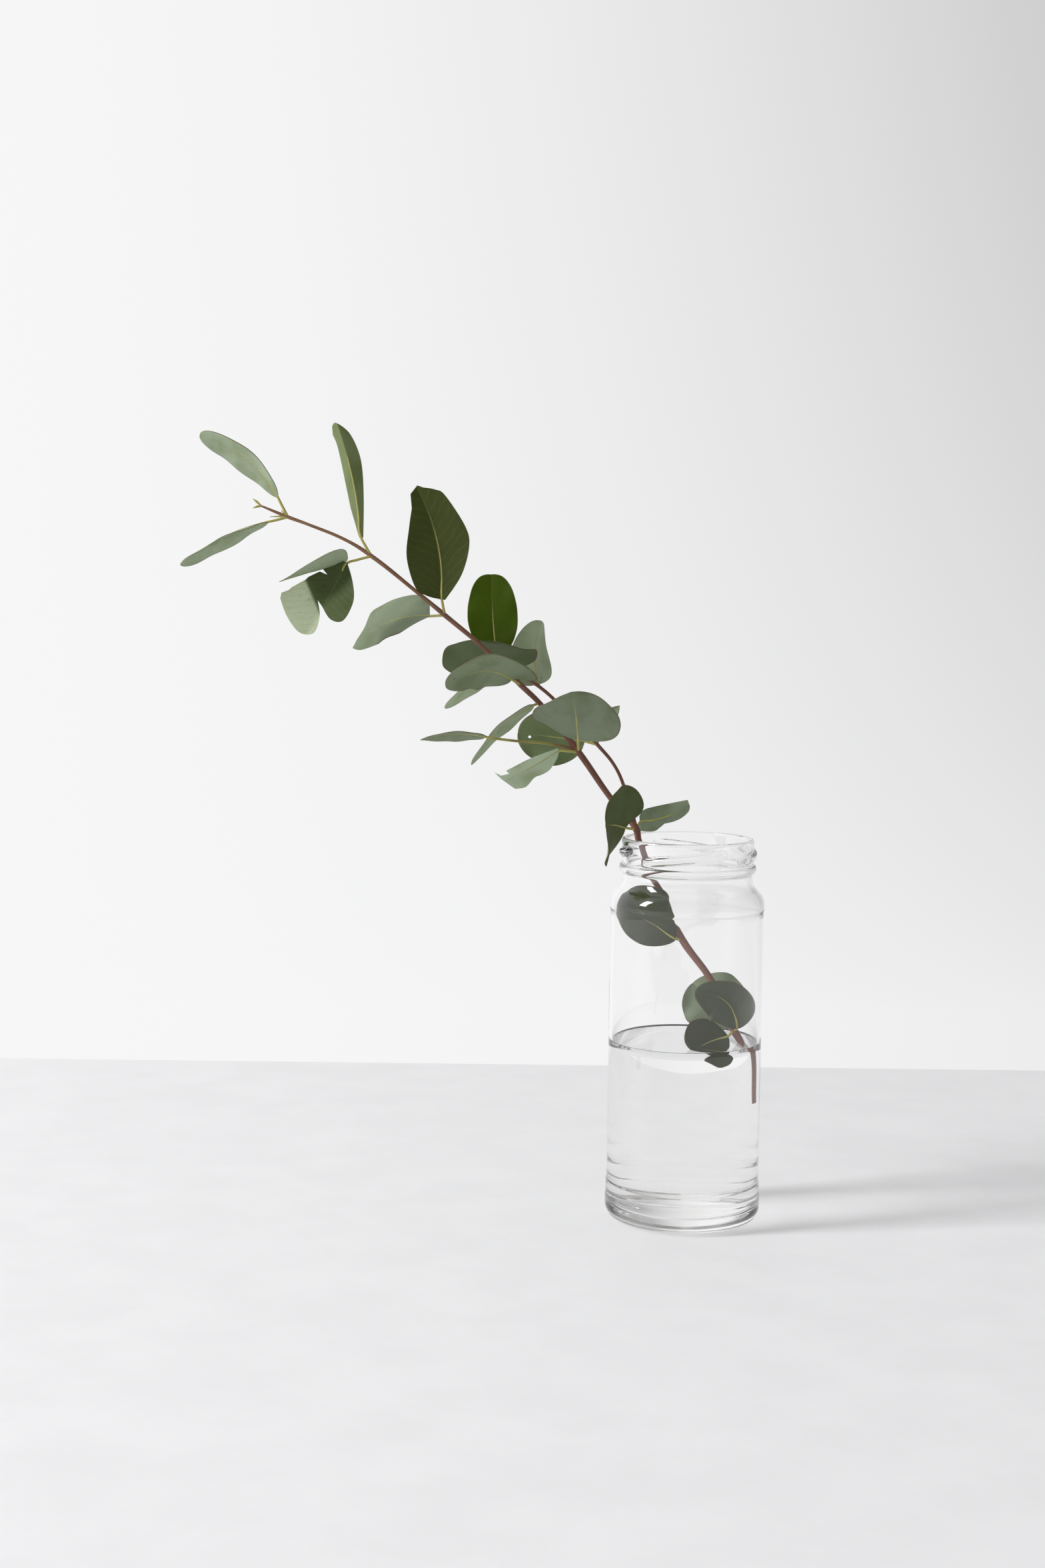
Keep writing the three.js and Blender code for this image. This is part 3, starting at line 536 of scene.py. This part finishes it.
def leaf_finish(name, green, bloom, cover, through, share, painted_lit_lobe=None, rib_share=RIB_SHARE):
    """Waxy leaf: bloom in clouds over green, pale midrib, side veins, brown margin and specks."""
    finish = new_finish("leaf_" + name)
    tree = finish.node_tree
    place = add_node(tree, "ShaderNodeTexCoord")
    here = place.outputs["Object"]
    parts = add_node(tree, "ShaderNodeSeparateXYZ", {"Vector": place.outputs["UV"]})
    along = parts.outputs["Y"]
    off = calculate(tree, "ABSOLUTE", calculate(tree, "MULTIPLY_ADD", parts.outputs["X"], 2.0, -1.0))

    clouds = cloudy(tree, here, BLOOM_CLOUDS, 2.0)
    grain = cloudy(tree, here, GRAIN, 2.0)
    waxed = spread(tree, clouds, 0.25, 0.62, 0.35 * cover, cover)
    colour = blend_colour(tree, waxed, green, bloom)
    # Painted light: left of the torn leaf's crease the colour turns paler, as where that lobe faces the
    # lamp.
    if painted_lit_lobe:
        whole = add_node(tree, "ShaderNodeSeparateXYZ", {"Vector": here})
        slope = calculate(tree, "MULTIPLY_ADD", whole.outputs["Z"], CREASE_SLOPE, whole.outputs["X"])
        painted_lit_side = spread(tree, slope, (CREASE_PLACE - 1.5) * MM, (CREASE_PLACE + 0.5) * MM, 0.9, 0.0)
        colour = blend_colour(tree, painted_lit_side, colour, painted_lit_lobe)
    shade = tuple(0.72 * c for c in green)
    colour = blend_colour(tree, spread(tree, grain, 0.5, 0.75, 0.0, GRAIN_SHARE), colour, shade)

    wander = cloudy(tree, here, 160.0, 2.0)
    slant = calculate(tree, "MULTIPLY", off, VEIN_SLANT)
    lines = calculate(tree, "MULTIPLY_ADD", along, VEIN_COUNT, slant)
    lines = calculate(tree, "FRACT", calculate(tree, "MULTIPLY_ADD", wander, VEIN_WANDER, lines))
    nearness = calculate(tree, "ABSOLUTE", calculate(tree, "SUBTRACT", lines, 0.5))
    veins = spread(tree, nearness, 0.0, 0.13, 1.0, 0.0)
    veins = calculate(tree, "MULTIPLY", veins, spread(tree, off, 0.65, 0.95, 1.0, 0.15))
    pale = tuple(0.62 * a + 0.38 * b for a, b in zip(bloom, VEIN_COLOUR))
    colour = blend_colour(tree, calculate(tree, "MULTIPLY", veins, VEIN_SHARE), colour, pale)

    rib = spread(tree, off, 0.0, 0.035, 1.0, 0.0)
    rib = calculate(tree, "MULTIPLY", rib, spread(tree, along, 0.1, 0.9, 1.0, 0.3))
    colour = blend_colour(tree, calculate(tree, "MULTIPLY", rib, rib_share), colour, RIB_COLOUR)

    margin = spread(tree, off, 0.945, 0.995)
    colour = blend_colour(tree, calculate(tree, "MULTIPLY", margin, MARGIN_SHARE), colour, MARGIN_COLOUR)

    cells = add_node(tree, "ShaderNodeTexVoronoi", {"Vector": here, "Scale": SPECK_CELLS})
    chosen = spread(tree, cells.outputs["Color"], 0.78, 0.8)
    specks = spread(tree, cells.outputs["Distance"], 0.08, 0.16, 0.55, 0.0)
    colour = blend_colour(tree, calculate(tree, "MULTIPLY", specks, chosen), colour, SPECK_COLOUR)

    net = add_node(tree, "ShaderNodeTexVoronoi", {"Vector": here, "Scale": NET_CELLS},
                   feature="DISTANCE_TO_EDGE")
    netted = spread(tree, net.outputs["Distance"], 0.0, 0.12, 0.1, 0.0)
    height = calculate(tree, "ADD", calculate(tree, "MULTIPLY", veins, -0.6), netted)
    height = calculate(tree, "MULTIPLY_ADD", grain, 0.12, height)
    bump = add_node(tree, "ShaderNodeBump", {
        "Strength": LEAF_BUMP, "Distance": LEAF_BUMP_DEPTH * MM, "Height": height,
    })

    rough = spread(tree, clouds, 0.2, 0.7, 0.46, 0.62)
    wax = add_node(tree, "ShaderNodeBsdfPrincipled", {
        "Base Color": colour, "Roughness": rough, "Normal": bump.outputs[0], "IOR": PLANT_IOR,
        "Specular IOR Level": LEAF_SHINE,
    })
    glow = blend_colour(tree, calculate(tree, "MULTIPLY", veins, 0.35), through,
                        tuple(0.5 * c for c in through))
    glow = blend_colour(tree, calculate(tree, "MULTIPLY", rib, 0.5), glow, RIB_GLOW)
    lit = add_node(tree, "ShaderNodeBsdfTranslucent", {"Color": glow, "Normal": bump.outputs[0]})
    both = add_node(tree, "ShaderNodeMixShader", {0: share, 1: wax.outputs[0], 2: lit.outputs[0]})
    show(tree, both.outputs[0])
    return finish


def wood_finish(name, old, young, low, high):
    """Smooth bark in patches and flecks, that turns from old to young wood along X between two places."""
    finish = new_finish(name)
    tree = finish.node_tree
    here = add_node(tree, "ShaderNodeTexCoord").outputs["Object"]
    parts = add_node(tree, "ShaderNodeSeparateXYZ", {"Vector": here})
    age = spread(tree, parts.outputs["X"], low * MM, high * MM)
    patches = cloudy(tree, here, BARK_PATCHES)
    flecks = cloudy(tree, here, BARK_FLECKS, roughness=0.6)
    colour = blend_colour(tree, age, young, old)
    colour = blend_colour(tree, spread(tree, patches, 0.35, 0.7, 0.0, 0.45), colour,
                          tuple(0.55 * c for c in old))
    colour = blend_colour(tree, spread(tree, flecks, 0.55, 0.75, 0.0, 0.5), colour,
                          tuple(min(1, 1.8 * c) for c in old))
    bump = add_node(tree, "ShaderNodeBump", {
        "Strength": BARK_BUMP, "Distance": BARK_BUMP_DEPTH * MM, "Height": flecks,
    })
    rough = spread(tree, patches, 0.3, 0.7, 0.42, 0.62)
    bark = add_node(tree, "ShaderNodeBsdfPrincipled", {
        "Base Color": colour, "Roughness": rough, "Normal": bump.outputs[0], "IOR": PLANT_IOR,
    })
    show(tree, bark.outputs[0])
    return finish


def clear_finish(name, tint, ior, edge_shade):
    """Glass or water with a faint unevenness. Light from pale things around goes straight through it,
    and lamplight too, dimmed where it grazes an upright wall."""
    finish = new_finish(name)
    tree = finish.node_tree
    here = add_node(tree, "ShaderNodeTexCoord").outputs["Object"]
    smears = cloudy(tree, here, CLEAR_SMEARS)
    rough = spread(tree, smears, 0.55, 0.8, 0.0, 0.02)
    body = add_node(tree, "ShaderNodeBsdfPrincipled", {
        "Base Color": (*tint, 1), "Roughness": rough, "IOR": ior, "Transmission Weight": 1.0,
    })
    grazing = add_node(tree, "ShaderNodeLayerWeight", {"Blend": 0.5}).outputs["Facing"]
    upright = add_node(tree, "ShaderNodeSeparateXYZ", {
        "Vector": add_node(tree, "ShaderNodeNewGeometry").outputs["Normal"],
    })
    level = spread(tree, calculate(tree, "ABSOLUTE", upright.outputs["Z"]), 0.3, 0.8)
    passed = calculate(tree, "MAXIMUM", level, spread(tree, grazing, 0.12, 0.7, 1.0, edge_shade))
    thin = add_node(tree, "ShaderNodeBsdfTransparent", {"Color": passed})
    light = add_node(tree, "ShaderNodeLightPath")
    lamps = light.outputs["Is Shadow Ray"]
    bounced = light.outputs["Is Diffuse Ray"]
    plain = add_node(tree, "ShaderNodeBsdfTransparent", {"Color": (1, 1, 1, 1)})
    mild = add_node(tree, "ShaderNodeMixShader", {0: bounced, 1: body.outputs[0], 2: plain.outputs[0]})
    both = add_node(tree, "ShaderNodeMixShader", {0: lamps, 1: mild.outputs[0], 2: thin.outputs[0]})
    show(tree, both.outputs[0])
    return finish


# Branch

def round_stem(name, points, finish, sides):
    """A tube through [x, y, z, radius] points, drawn as a smooth curve and made a mesh."""
    begin()
    bpy.ops.curve.primitive_bezier_curve_add(location=(0, 0, 0))
    stem = bpy.context.object
    stem.name = name
    curve = stem.data
    curve.dimensions = "3D"
    curve.bevel_depth = MM
    curve.bevel_resolution = sides // 2
    curve.resolution_u = 8
    curve.use_fill_caps = True
    spline = curve.splines[0]
    spline.bezier_points.add(len(points) - 2)
    for handle, (x, y, z, radius) in zip(spline.bezier_points, points):
        handle.co = Vector((x, y, z)) * MM
        handle.radius = radius
        handle.handle_left_type = "AUTO"
        handle.handle_right_type = "AUTO"
    pick(stem)
    bpy.ops.object.convert(target="MESH")
    stem = bpy.context.object
    stem.data.name = name
    stem.data.materials.append(finish)
    mend(stem)
    bpy.ops.object.shade_smooth()
    return stem


def make_branch(finishes):
    """The stem with its side shoot, twig and bud, grown together."""
    branch = round_stem("woody_branch", STEM, finishes["red_bark"], 10)
    for i, (points, finish) in enumerate([
        (SIDE_SHOOT, "red_bark"), (TWIG, "green_twig"), *[(spike, "leaf_stalk") for spike in BUD_SPIKES],
    ]):
        shoot = round_stem(f"shoot_{i}", points, finishes[finish], 8)
        pick(branch, shoot)
        bpy.ops.object.join()
    bpy.ops.object.shade_smooth()
    hand_in(branch, "branch")


# Leaves

def blade_axes(leaf):
    """The blade's base, control point and tip, its face and its left side."""
    base = Vector(leaf["base"])
    tip = Vector(leaf["tip"])
    along = (tip - base).normalized()
    front = (FRONT - along * FRONT.dot(along)).normalized()
    left = front.cross(along)
    roll = radians(leaf["roll"])
    face = front * cos(roll) + left * sin(roll)
    side = left * cos(roll) - front * sin(roll)
    control = (base + tip) / 2 + 2 * (leaf["bow"][0] * face + leaf["bow"][1] * side)
    return base, control, tip, face, side


def blade_section(leaf, axes, s):
    """Centre, direction, upward and sideways axes and half width of the blade at s along its midrib."""
    base, control, tip, face, side = axes
    centre = base * (1 - s) ** 2 + control * (2 * s * (1 - s)) + tip * s ** 2
    along = ((control - base) * (1 - s) + (tip - control) * s).normalized()
    turn = radians(leaf["twist"]) * (s - 0.5)
    up = face * cos(turn) + side * sin(turn)
    up = (up - along * up.dot(along)).normalized()
    skew = log(0.5) / log(leaf["broad"])
    fullness = mix(*leaf["ends"], s)
    half = leaf["width"] / 2 * max(0, sin(pi * s ** skew)) ** fullness
    return centre, along, up, up.cross(along), half


def blade_point(leaf, axes, s, w, seed):
    """A point of the blade, w from -1 at its right margin to 1 at its left one."""
    centre, along, up, sideways, half = blade_section(leaf, axes, s)
    reach = abs(w)
    half *= 1 + MARGIN_WAVER * noise.noise(Vector((seed, 5 * s, 3 * w)))
    lift = radians(leaf["fold"][0 if w > 0 else 1] + leaf["curl"] * reach / 2)
    wave = leaf["ripple"] * reach * reach * sin(2 * pi * RIPPLE_WAVES * s + 2 * w)
    dent = DENT_DEPTH * reach * noise.noise(Vector((seed + 3.7, 4 * s, 1.6 * w)))
    groove = -GROOVE_DEPTH * exp(-(w * half / GROOVE_WIDTH) ** 2)
    relief = (wave + dent + groove) * min(1, half / FULL_RELIEF)
    ear = leaf.get("ear", (0, 0))[0 if w > 0 else 1]
    back = ear * reach * reach * s / EAR_PLACE * exp(1 - s / EAR_PLACE)
    flat = centre + sideways * (half * w * cos(lift)) - along * back
    return flat + up * (half * reach * sin(lift) + relief)


def make_blade(name, leaf, seed, slots):
    """A grid laid along the midrib, drawn in to the leaf's outline, then given its thickness."""
    begin()
    bpy.ops.mesh.primitive_grid_add(x_subdivisions=CELLS_ACROSS, y_subdivisions=CELLS_ALONG, size=2)
    blade = bpy.context.object
    blade.name = name
    mesh = blade.data
    mesh.name = name
    axes = blade_axes(leaf)
    flat = [(-v.co.x, (1 - cos(pi * (v.co.y + 1) / 2)) / 2) for v in mesh.vertices]
    sheet = mesh.uv_layers.active.data
    for loop in mesh.loops:
        w, s = flat[loop.vertex_index]
        sheet[loop.index].uv = ((w + 1) / 2, s)
    for vertex, (w, s) in zip(mesh.vertices, flat):
        vertex.co = blade_point(leaf, axes, s, w, seed) * MM
    for finish in slots:
        mesh.materials.append(finish)
    mend(blade, closed=False)
    apply_modifier(blade, "SOLIDIFY", thickness=BLADE_THICKNESS * MM, offset=0, material_offset=1,
                   material_offset_rim=0)
    return blade


def make_stalk(leaf, finish):
    """The stalk from inside the wood to the blade, running on under it as the rib."""
    axes = blade_axes(leaf)
    start = Vector(NODES[leaf["node"]])
    base = axes[0]
    points = [(*start, STALK_RADIUS), (*start.lerp(base, STALK_MIDDLE), STALK_RADIUS)]
    rib_end = leaf.get("rib", RIB_END)
    for s in (*[place for place in RIB_PLACES if place < rib_end], rib_end):
        centre, _, up, _, _ = blade_section(leaf, axes, s)
        radius = mix(STALK_RADIUS, RIB_RADIUS, s ** 0.5) * (1 - 0.6 * s)
        points.append((*(centre - up * RIB_DROP), radius))
    return round_stem("stalk", points, finish, 6)


def smooth_through(points):
    """Points along a smooth curve through the given ones."""
    drawn = []
    for i in range(len(points) - 1):
        before, start, end, after = (points[min(max(k, 0), len(points) - 1)] for k in range(i - 1, i + 3))
        for step in range(CURVE_STEPS):
            t = step / CURVE_STEPS
            drawn.append(tuple(
                b + (c - a) / 2 * t + (a - 2.5 * b + 2 * c - d / 2) * t ** 2
                + (1.5 * (b - c) + (d - a) / 2) * t ** 3
                for a, b, c, d in zip(before, start, end, after)))
    return [*drawn, points[-1]]


def drawn_outline(stretches):
    """Smooth stretches and single corners, joined up without doubled points."""
    points = []
    for stretch in stretches:
        points += [point for point in smooth_through(stretch) if not points or point != points[-1]]
    return points


def cut_out(blade, outline, depth_at, operation):
    """Cuts an outline, seen from the front, right through a blade, or keeps only what is inside it."""
    begin()
    bpy.ops.mesh.primitive_circle_add(vertices=len(outline), radius=MM, fill_type="NGON")
    cutter = bpy.context.object
    for vertex, (x, z) in zip(cutter.data.vertices, outline):
        vertex.co = Vector((x, depth_at - CUT_DEPTH / 2, z)) * MM
    bpy.ops.object.mode_set(mode="EDIT")
    bpy.ops.mesh.select_all(action="SELECT")
    bpy.ops.mesh.extrude_region_move(TRANSFORM_OT_translate={"value": (0, CUT_DEPTH * MM, 0)})
    bpy.ops.object.mode_set(mode="OBJECT")
    mend(cutter)
    apply_modifier(blade, "BOOLEAN", operation=operation, solver="MANIFOLD", object=cutter)
    bpy.data.objects.remove(cutter)


def make_leaf(name, leaf, seed, finishes):
    """A blade, trimmed, holed or torn where the leaf is, and its stalk."""
    slots = [finishes[leaf["finish"]], finishes["pale"], finishes["leaf_stalk"]]
    blade = make_blade("eucalyptus_" + name, leaf, seed, slots)
    if "outline" in leaf:
        cut_out(blade, drawn_outline(leaf["outline"]), leaf["base"][1], "INTERSECT")
    for hole in leaf.get("cuts", []):
        cut_out(blade, hole, leaf["base"][1], "DIFFERENCE")
    extras = [make_stalk(leaf, finishes["leaf_stalk"])]
    if "strip" in leaf:
        extras.append(make_blade("strip", leaf["strip"], seed + 0.5, [finishes["pale"], *slots[1:]]))
    pick(blade, *extras)
    bpy.ops.object.join()
    bpy.ops.object.shade_smooth_by_angle(angle=radians(SMOOTH_ANGLE))
    hand_in(blade, "leaf_" + name)


# Jar and water

def curve_through(start, control, end, steps):
    """Points after the start of a curve that leans to its control point."""
    points = []
    for i in range(1, steps + 1):
        t = i / steps
        points.append(tuple(
            a * (1 - t) ** 2 + b * 2 * t * (1 - t) + c * t * t for a, b, c in zip(start, control, end)))
    return points


def line_to(start, end, steps):
    """Points after the start of a straight line."""
    return [tuple(mix(a, b, i / steps) for a, b in zip(start, end)) for i in range(1, steps + 1)]


def draw_section(start, stretches):
    """Points of a section. Each stretch has its end and its steps, after a control point if it bends."""
    points = [start]
    for *control, end, steps in stretches:
        draw = curve_through if control else line_to
        points += draw(points[-1], *control, end, steps)
    return points


def jar_outside():
    """Stretches of the jar's section from the axis at the foot to the top of the rim."""
    heel = HEEL_TOP - 1
    knee = ((BODY_RADIUS + NECK_RADIUS) / 2, (SHOULDER_BOTTOM + NECK_BOTTOM) / 2)
    return [
        ((FOOT_RADIUS * 0.5, 0), 1),
        ((FOOT_RADIUS - 0.6, 0), 1),
        ((FOOT_RADIUS, 0.05), 1),
        ((HEEL_RADIUS - 0.1, 0.6), (HEEL_RADIUS, HEEL_FULL), 14),
        ((HEEL_RADIUS, heel), 2),
        ((HEEL_RADIUS, heel + 0.7), (BODY_RADIUS, HEEL_TOP + 0.2), 5),
        ((BODY_RADIUS, PANEL_BOTTOM - 1), 3),
        ((BODY_RADIUS, PANEL_BOTTOM - 0.5), (PANEL_RADIUS, PANEL_BOTTOM + 0.3), 5),
        ((PANEL_RADIUS, PANEL_TOP - 0.3), WALL_ROWS),
        ((BODY_RADIUS, PANEL_TOP + 0.5), (BODY_RADIUS, PANEL_TOP + 1.2), 5),
        ((BODY_RADIUS, SHOULDER_BOTTOM), 2),
        ((BODY_RADIUS, knee[1] - SHOULDER_LEAN), knee, 9),
        ((NECK_RADIUS, knee[1] + SHOULDER_LEAN), (NECK_RADIUS, NECK_BOTTOM), 9),
        ((NECK_RADIUS, BEAD_HEIGHT - 2.9), 2),
        ((NECK_RADIUS, BEAD_HEIGHT - 2.1), (BEAD_RADIUS - 0.5, BEAD_HEIGHT - 1.6), 6),
        ((BEAD_RADIUS + 0.4, BEAD_HEIGHT), (BEAD_RADIUS - 0.4, BEAD_HEIGHT + 1.3), 8),
        ((FINISH_RADIUS, FINISH_BOTTOM - 0.5), (FINISH_RADIUS, FINISH_BOTTOM), 5),
        ((FINISH_RADIUS, FINISH_TOP), FINISH_ROWS),
        ((FINISH_RADIUS - 0.05, JAR_HEIGHT), (RIM_RADIUS, JAR_HEIGHT), 9),
    ]


def jar_inside():
    """Stretches of the section from the top of the rim down to the axis at the floor."""
    inner = BODY_RADIUS - WALL
    knee = ((BORE_RADIUS + inner) / 2, (SHOULDER_BOTTOM + NECK_BOTTOM) / 2 - 1)
    return [
        ((BORE_RADIUS, JAR_HEIGHT), (BORE_RADIUS, FINISH_TOP), 9),
        ((BORE_RADIUS, NECK_BOTTOM), 8),
        ((BORE_RADIUS, knee[1] + SHOULDER_LEAN), knee, 9),
        ((inner, knee[1] - SHOULDER_LEAN), (inner, SHOULDER_BOTTOM - 1), 9),
        ((inner, FLOOR_HEIGHT + FLOOR_CORNER), WALL_ROWS),
        ((inner, FLOOR_HEIGHT), (inner - FLOOR_CORNER, FLOOR_HEIGHT), 12),
        ((0, FLOOR_HEIGHT - FLOOR_DIP), 4),
    ]


def lathe(name, section, finish):
    """Draws a section as a row of edges, spins it round the Z axis and closes it."""
    begin()
    bpy.ops.mesh.primitive_circle_add(vertices=len(section), radius=MM)
    piece = bpy.context.object
    piece.name = name
    piece.data.name = name
    for vertex, (radius, z) in zip(piece.data.vertices, section):
        vertex.co = Vector((radius, 0, z)) * MM
    first_and_last = {0, len(section) - 1}
    bpy.ops.object.mode_set(mode="EDIT")
    bpy.ops.mesh.select_mode(type="EDGE")
    bpy.ops.mesh.select_all(action="DESELECT")
    bpy.ops.object.mode_set(mode="OBJECT")
    for edge in piece.data.edges:
        edge.select = set(edge.vertices) == first_and_last
    bpy.ops.object.mode_set(mode="EDIT")
    bpy.ops.mesh.delete(type="EDGE")
    bpy.ops.mesh.select_all(action="SELECT")
    bpy.ops.mesh.spin(steps=JAR_TURNS, angle=2 * pi, center=(0, 0, 0), axis=(0, 0, 1))
    bpy.ops.object.mode_set(mode="OBJECT")
    mend(piece)
    piece.data.materials.append(finish)
    bpy.ops.object.shade_smooth()
    return piece


def lug_relief(angle, z):
    """How far the thread stands out: sloping lugs, thin at both ends."""
    turn = (angle - LUG_START) % (360 / LUG_COUNT)
    t = turn / LUG_SPAN
    if t >= 1:
        return 0
    body = sin(pi * t) ** 0.6
    off = abs(z - LUG_LOW - LUG_RISE * t) / LUG_HALF_HEIGHT
    return LUG_RELIEF * body * max(0, 1 - off ** 2.6) ** 0.8


def make_jar(finish):
    """A spun section with the lugs raised and the inner wall faintly uneven, as pressed glass is."""
    jar = lathe("glass_jar", draw_section((0, 0), jar_outside() + jar_inside()), finish)
    inner = BODY_RADIUS - WALL
    for vertex in jar.data.vertices:
        x, y, z = vertex.co / MM
        radius = hypot(x, y)
        push = 0
        if abs(radius - FINISH_RADIUS) < ON_WALL and FINISH_BOTTOM - 1 < z < FINISH_TOP + 0.2:
            push = lug_relief(degrees(atan2(x, -y)), z)
        elif abs(radius - inner) < ON_WALL:
            push = WALL_WAVES * noise.noise(Vector((x / 14, y / 14, z / 40)))
        if push:
            vertex.co.x *= 1 + push / radius
            vertex.co.y *= 1 + push / radius
    hand_in(jar, "jar")


def make_water(finish):
    """Water to its level, climbing a little at the glass and reaching just into it, with no air between."""
    edge = BODY_RADIUS - WALL + WATER_IN_GLASS
    floor = FLOOR_HEIGHT - WATER_IN_GLASS
    section = draw_section((0, floor - FLOOR_DIP), [
        ((edge - FLOOR_CORNER, floor), 1),
        ((edge, floor), (edge, floor + FLOOR_CORNER), 12),
        ((edge, WATER_LEVEL + MENISCUS), 20),
        ((edge - 0.2, WATER_LEVEL), (edge - MENISCUS_WIDTH, WATER_LEVEL), 12),
        ((0, WATER_LEVEL), 6),
    ])
    water = lathe("still_water", section, finish)
    hand_in(water, "water")


# Stage

def make_floor():
    begin()
    bpy.ops.mesh.primitive_plane_add(size=2)
    floor = bpy.context.object
    floor.name = "floor"
    for vertex in floor.data.vertices:
        far = FLOOR_BACK if vertex.co.y > 0 else -FLOOR_REACH
        vertex.co = Vector((vertex.co.x * FLOOR_REACH, far, FLOOR_LEVEL)) * MM
    finish = new_finish("floor_paint")
    tree = finish.node_tree
    here = add_node(tree, "ShaderNodeTexCoord").outputs["Object"]
    clouds = spread(tree, cloudy(tree, here, FLOOR_MOTTLE, 4.0), 0.3, 0.7)
    mottled = blend_colour(tree, clouds, FLOOR_DULL, FLOOR_PALE)
    paint = add_node(tree, "ShaderNodeBsdfPrincipled", {"Base Color": mottled, "Roughness": 0.7})
    show(tree, paint.outputs[0])
    floor.data.materials.append(finish)


def make_room():
    """A pale room, brightest on the left, darkest high on the right, and dimmer behind the viewer."""
    world = bpy.data.worlds.new("room")
    bpy.context.scene.world = world
    world.use_nodes = True
    tree = world.node_tree
    tree.nodes.clear()
    way = add_node(tree, "ShaderNodeTexCoord").outputs["Generated"]
    parts = add_node(tree, "ShaderNodeSeparateXYZ", {"Vector": way})
    across = calculate(tree, "MULTIPLY_ADD", parts.outputs["X"], RIGHT_SLOPE, RIGHT_START)
    across = calculate(tree, "POWER", calculate(tree, "MAXIMUM", across, 0.0), RIGHT_POWER)
    across = calculate(tree, "MINIMUM", calculate(tree, "MULTIPLY", across, RIGHT_LOSS), RIGHT_MOST)
    upward = calculate(tree, "MULTIPLY_ADD", parts.outputs["Z"], UP_SLOPE, UP_START)
    upward = calculate(tree, "POWER", calculate(tree, "MAXIMUM", upward, 0.0), UP_POWER)
    upward = calculate(tree, "MULTIPLY_ADD", upward, UP_LOSS, UP_LEAST)
    upward = calculate(tree, "MINIMUM", upward, UP_MOST)
    level = calculate(tree, "SUBTRACT", WALL_LIGHT, calculate(tree, "MULTIPLY", across, upward))
    depth = spread(tree, parts.outputs["Y"], -0.4, 0.5, ROOM_BEHIND, 1.0)
    strength = calculate(tree, "MULTIPLY", level, depth)
    path = add_node(tree, "ShaderNodeLightPath")
    bounced = path.outputs["Is Diffuse Ray"]
    mirrored = calculate(tree, "SUBTRACT", path.outputs["Is Reflection Ray"], bounced)
    strength = calculate(tree, "MULTIPLY", strength, spread(tree, bounced, 0.0, 1.0, 1.0, ROOM_ON_PIECES))
    mirrored = calculate(tree, "MULTIPLY", mirrored, spread(tree, parts.outputs["Y"], -0.5, 0.1, 1.0, 0.0))
    strength = calculate(tree, "MULTIPLY", strength, spread(tree, mirrored, 0.0, 1.0, 1.0, ROOM_IN_GLASS))
    light = add_node(tree, "ShaderNodeBackground", {"Color": ROOM_COLOUR, "Strength": strength})
    output = add_node(tree, "ShaderNodeOutputWorld")
    tree.links.new(light.outputs[0], output.inputs["Surface"])


def make_window():
    """A soft upright light on the left."""
    begin()
    place = Vector(WINDOW_PLACE) * MM
    bpy.ops.object.light_add(type="AREA", location=place)
    window = bpy.context.object
    window.name = "window"
    window.data.shape = "RECTANGLE"
    window.data.size = WINDOW_SIZE[0] * MM
    window.data.size_y = WINDOW_SIZE[1] * MM
    window.data.energy = WINDOW_POWER
    window.visible_transmission = False
    window.rotation_euler = (Vector(WINDOW_AIM) * MM - place).to_track_quat("-Z", "Y").to_euler()


def make_camera():
    begin()
    bpy.ops.object.camera_add()
    camera = bpy.context.object
    camera.data.sensor_fit = "VERTICAL"
    camera.data.sensor_height = SENSOR
    camera.data.lens = LENS
    camera.data.clip_start = NEAREST * MM
    place = Matrix.Translation(Vector(CAMERA_PLACE) * MM)
    pitch = Matrix.Rotation(radians(90 - CAMERA_PITCH), 4, "X")
    roll = Matrix.Rotation(radians(CAMERA_ROLL), 4, "Z")
    camera.matrix_world = place @ pitch @ roll
    bpy.context.scene.camera = camera


finishes = {name: leaf_finish(name, **values) for name, values in LEAF_FINISHES.items()}
for finish_name, values in WOOD_FINISHES.items():
    finishes[finish_name] = wood_finish(finish_name, **values)

make_camera()
make_floor()
make_room()
make_window()
make_branch(finishes)
for seed, (leaf_name, leaf) in enumerate(LEAVES.items()):
    make_leaf(leaf_name, leaf, SEED_STEP * seed, finishes)
make_jar(clear_finish("jar_glass", **GLASS))
make_water(clear_finish("clear_water", **STILL_WATER))

bpy.context.scene.view_settings.view_transform = "Standard"
paths = bpy.context.scene.cycles
paths.max_bounces = GLASS_BOUNCES
paths.transmission_bounces = GLASS_BOUNCES
paths.glossy_bounces = GLASS_BOUNCES
paths.transparent_max_bounces = GLASS_BOUNCES
begin()
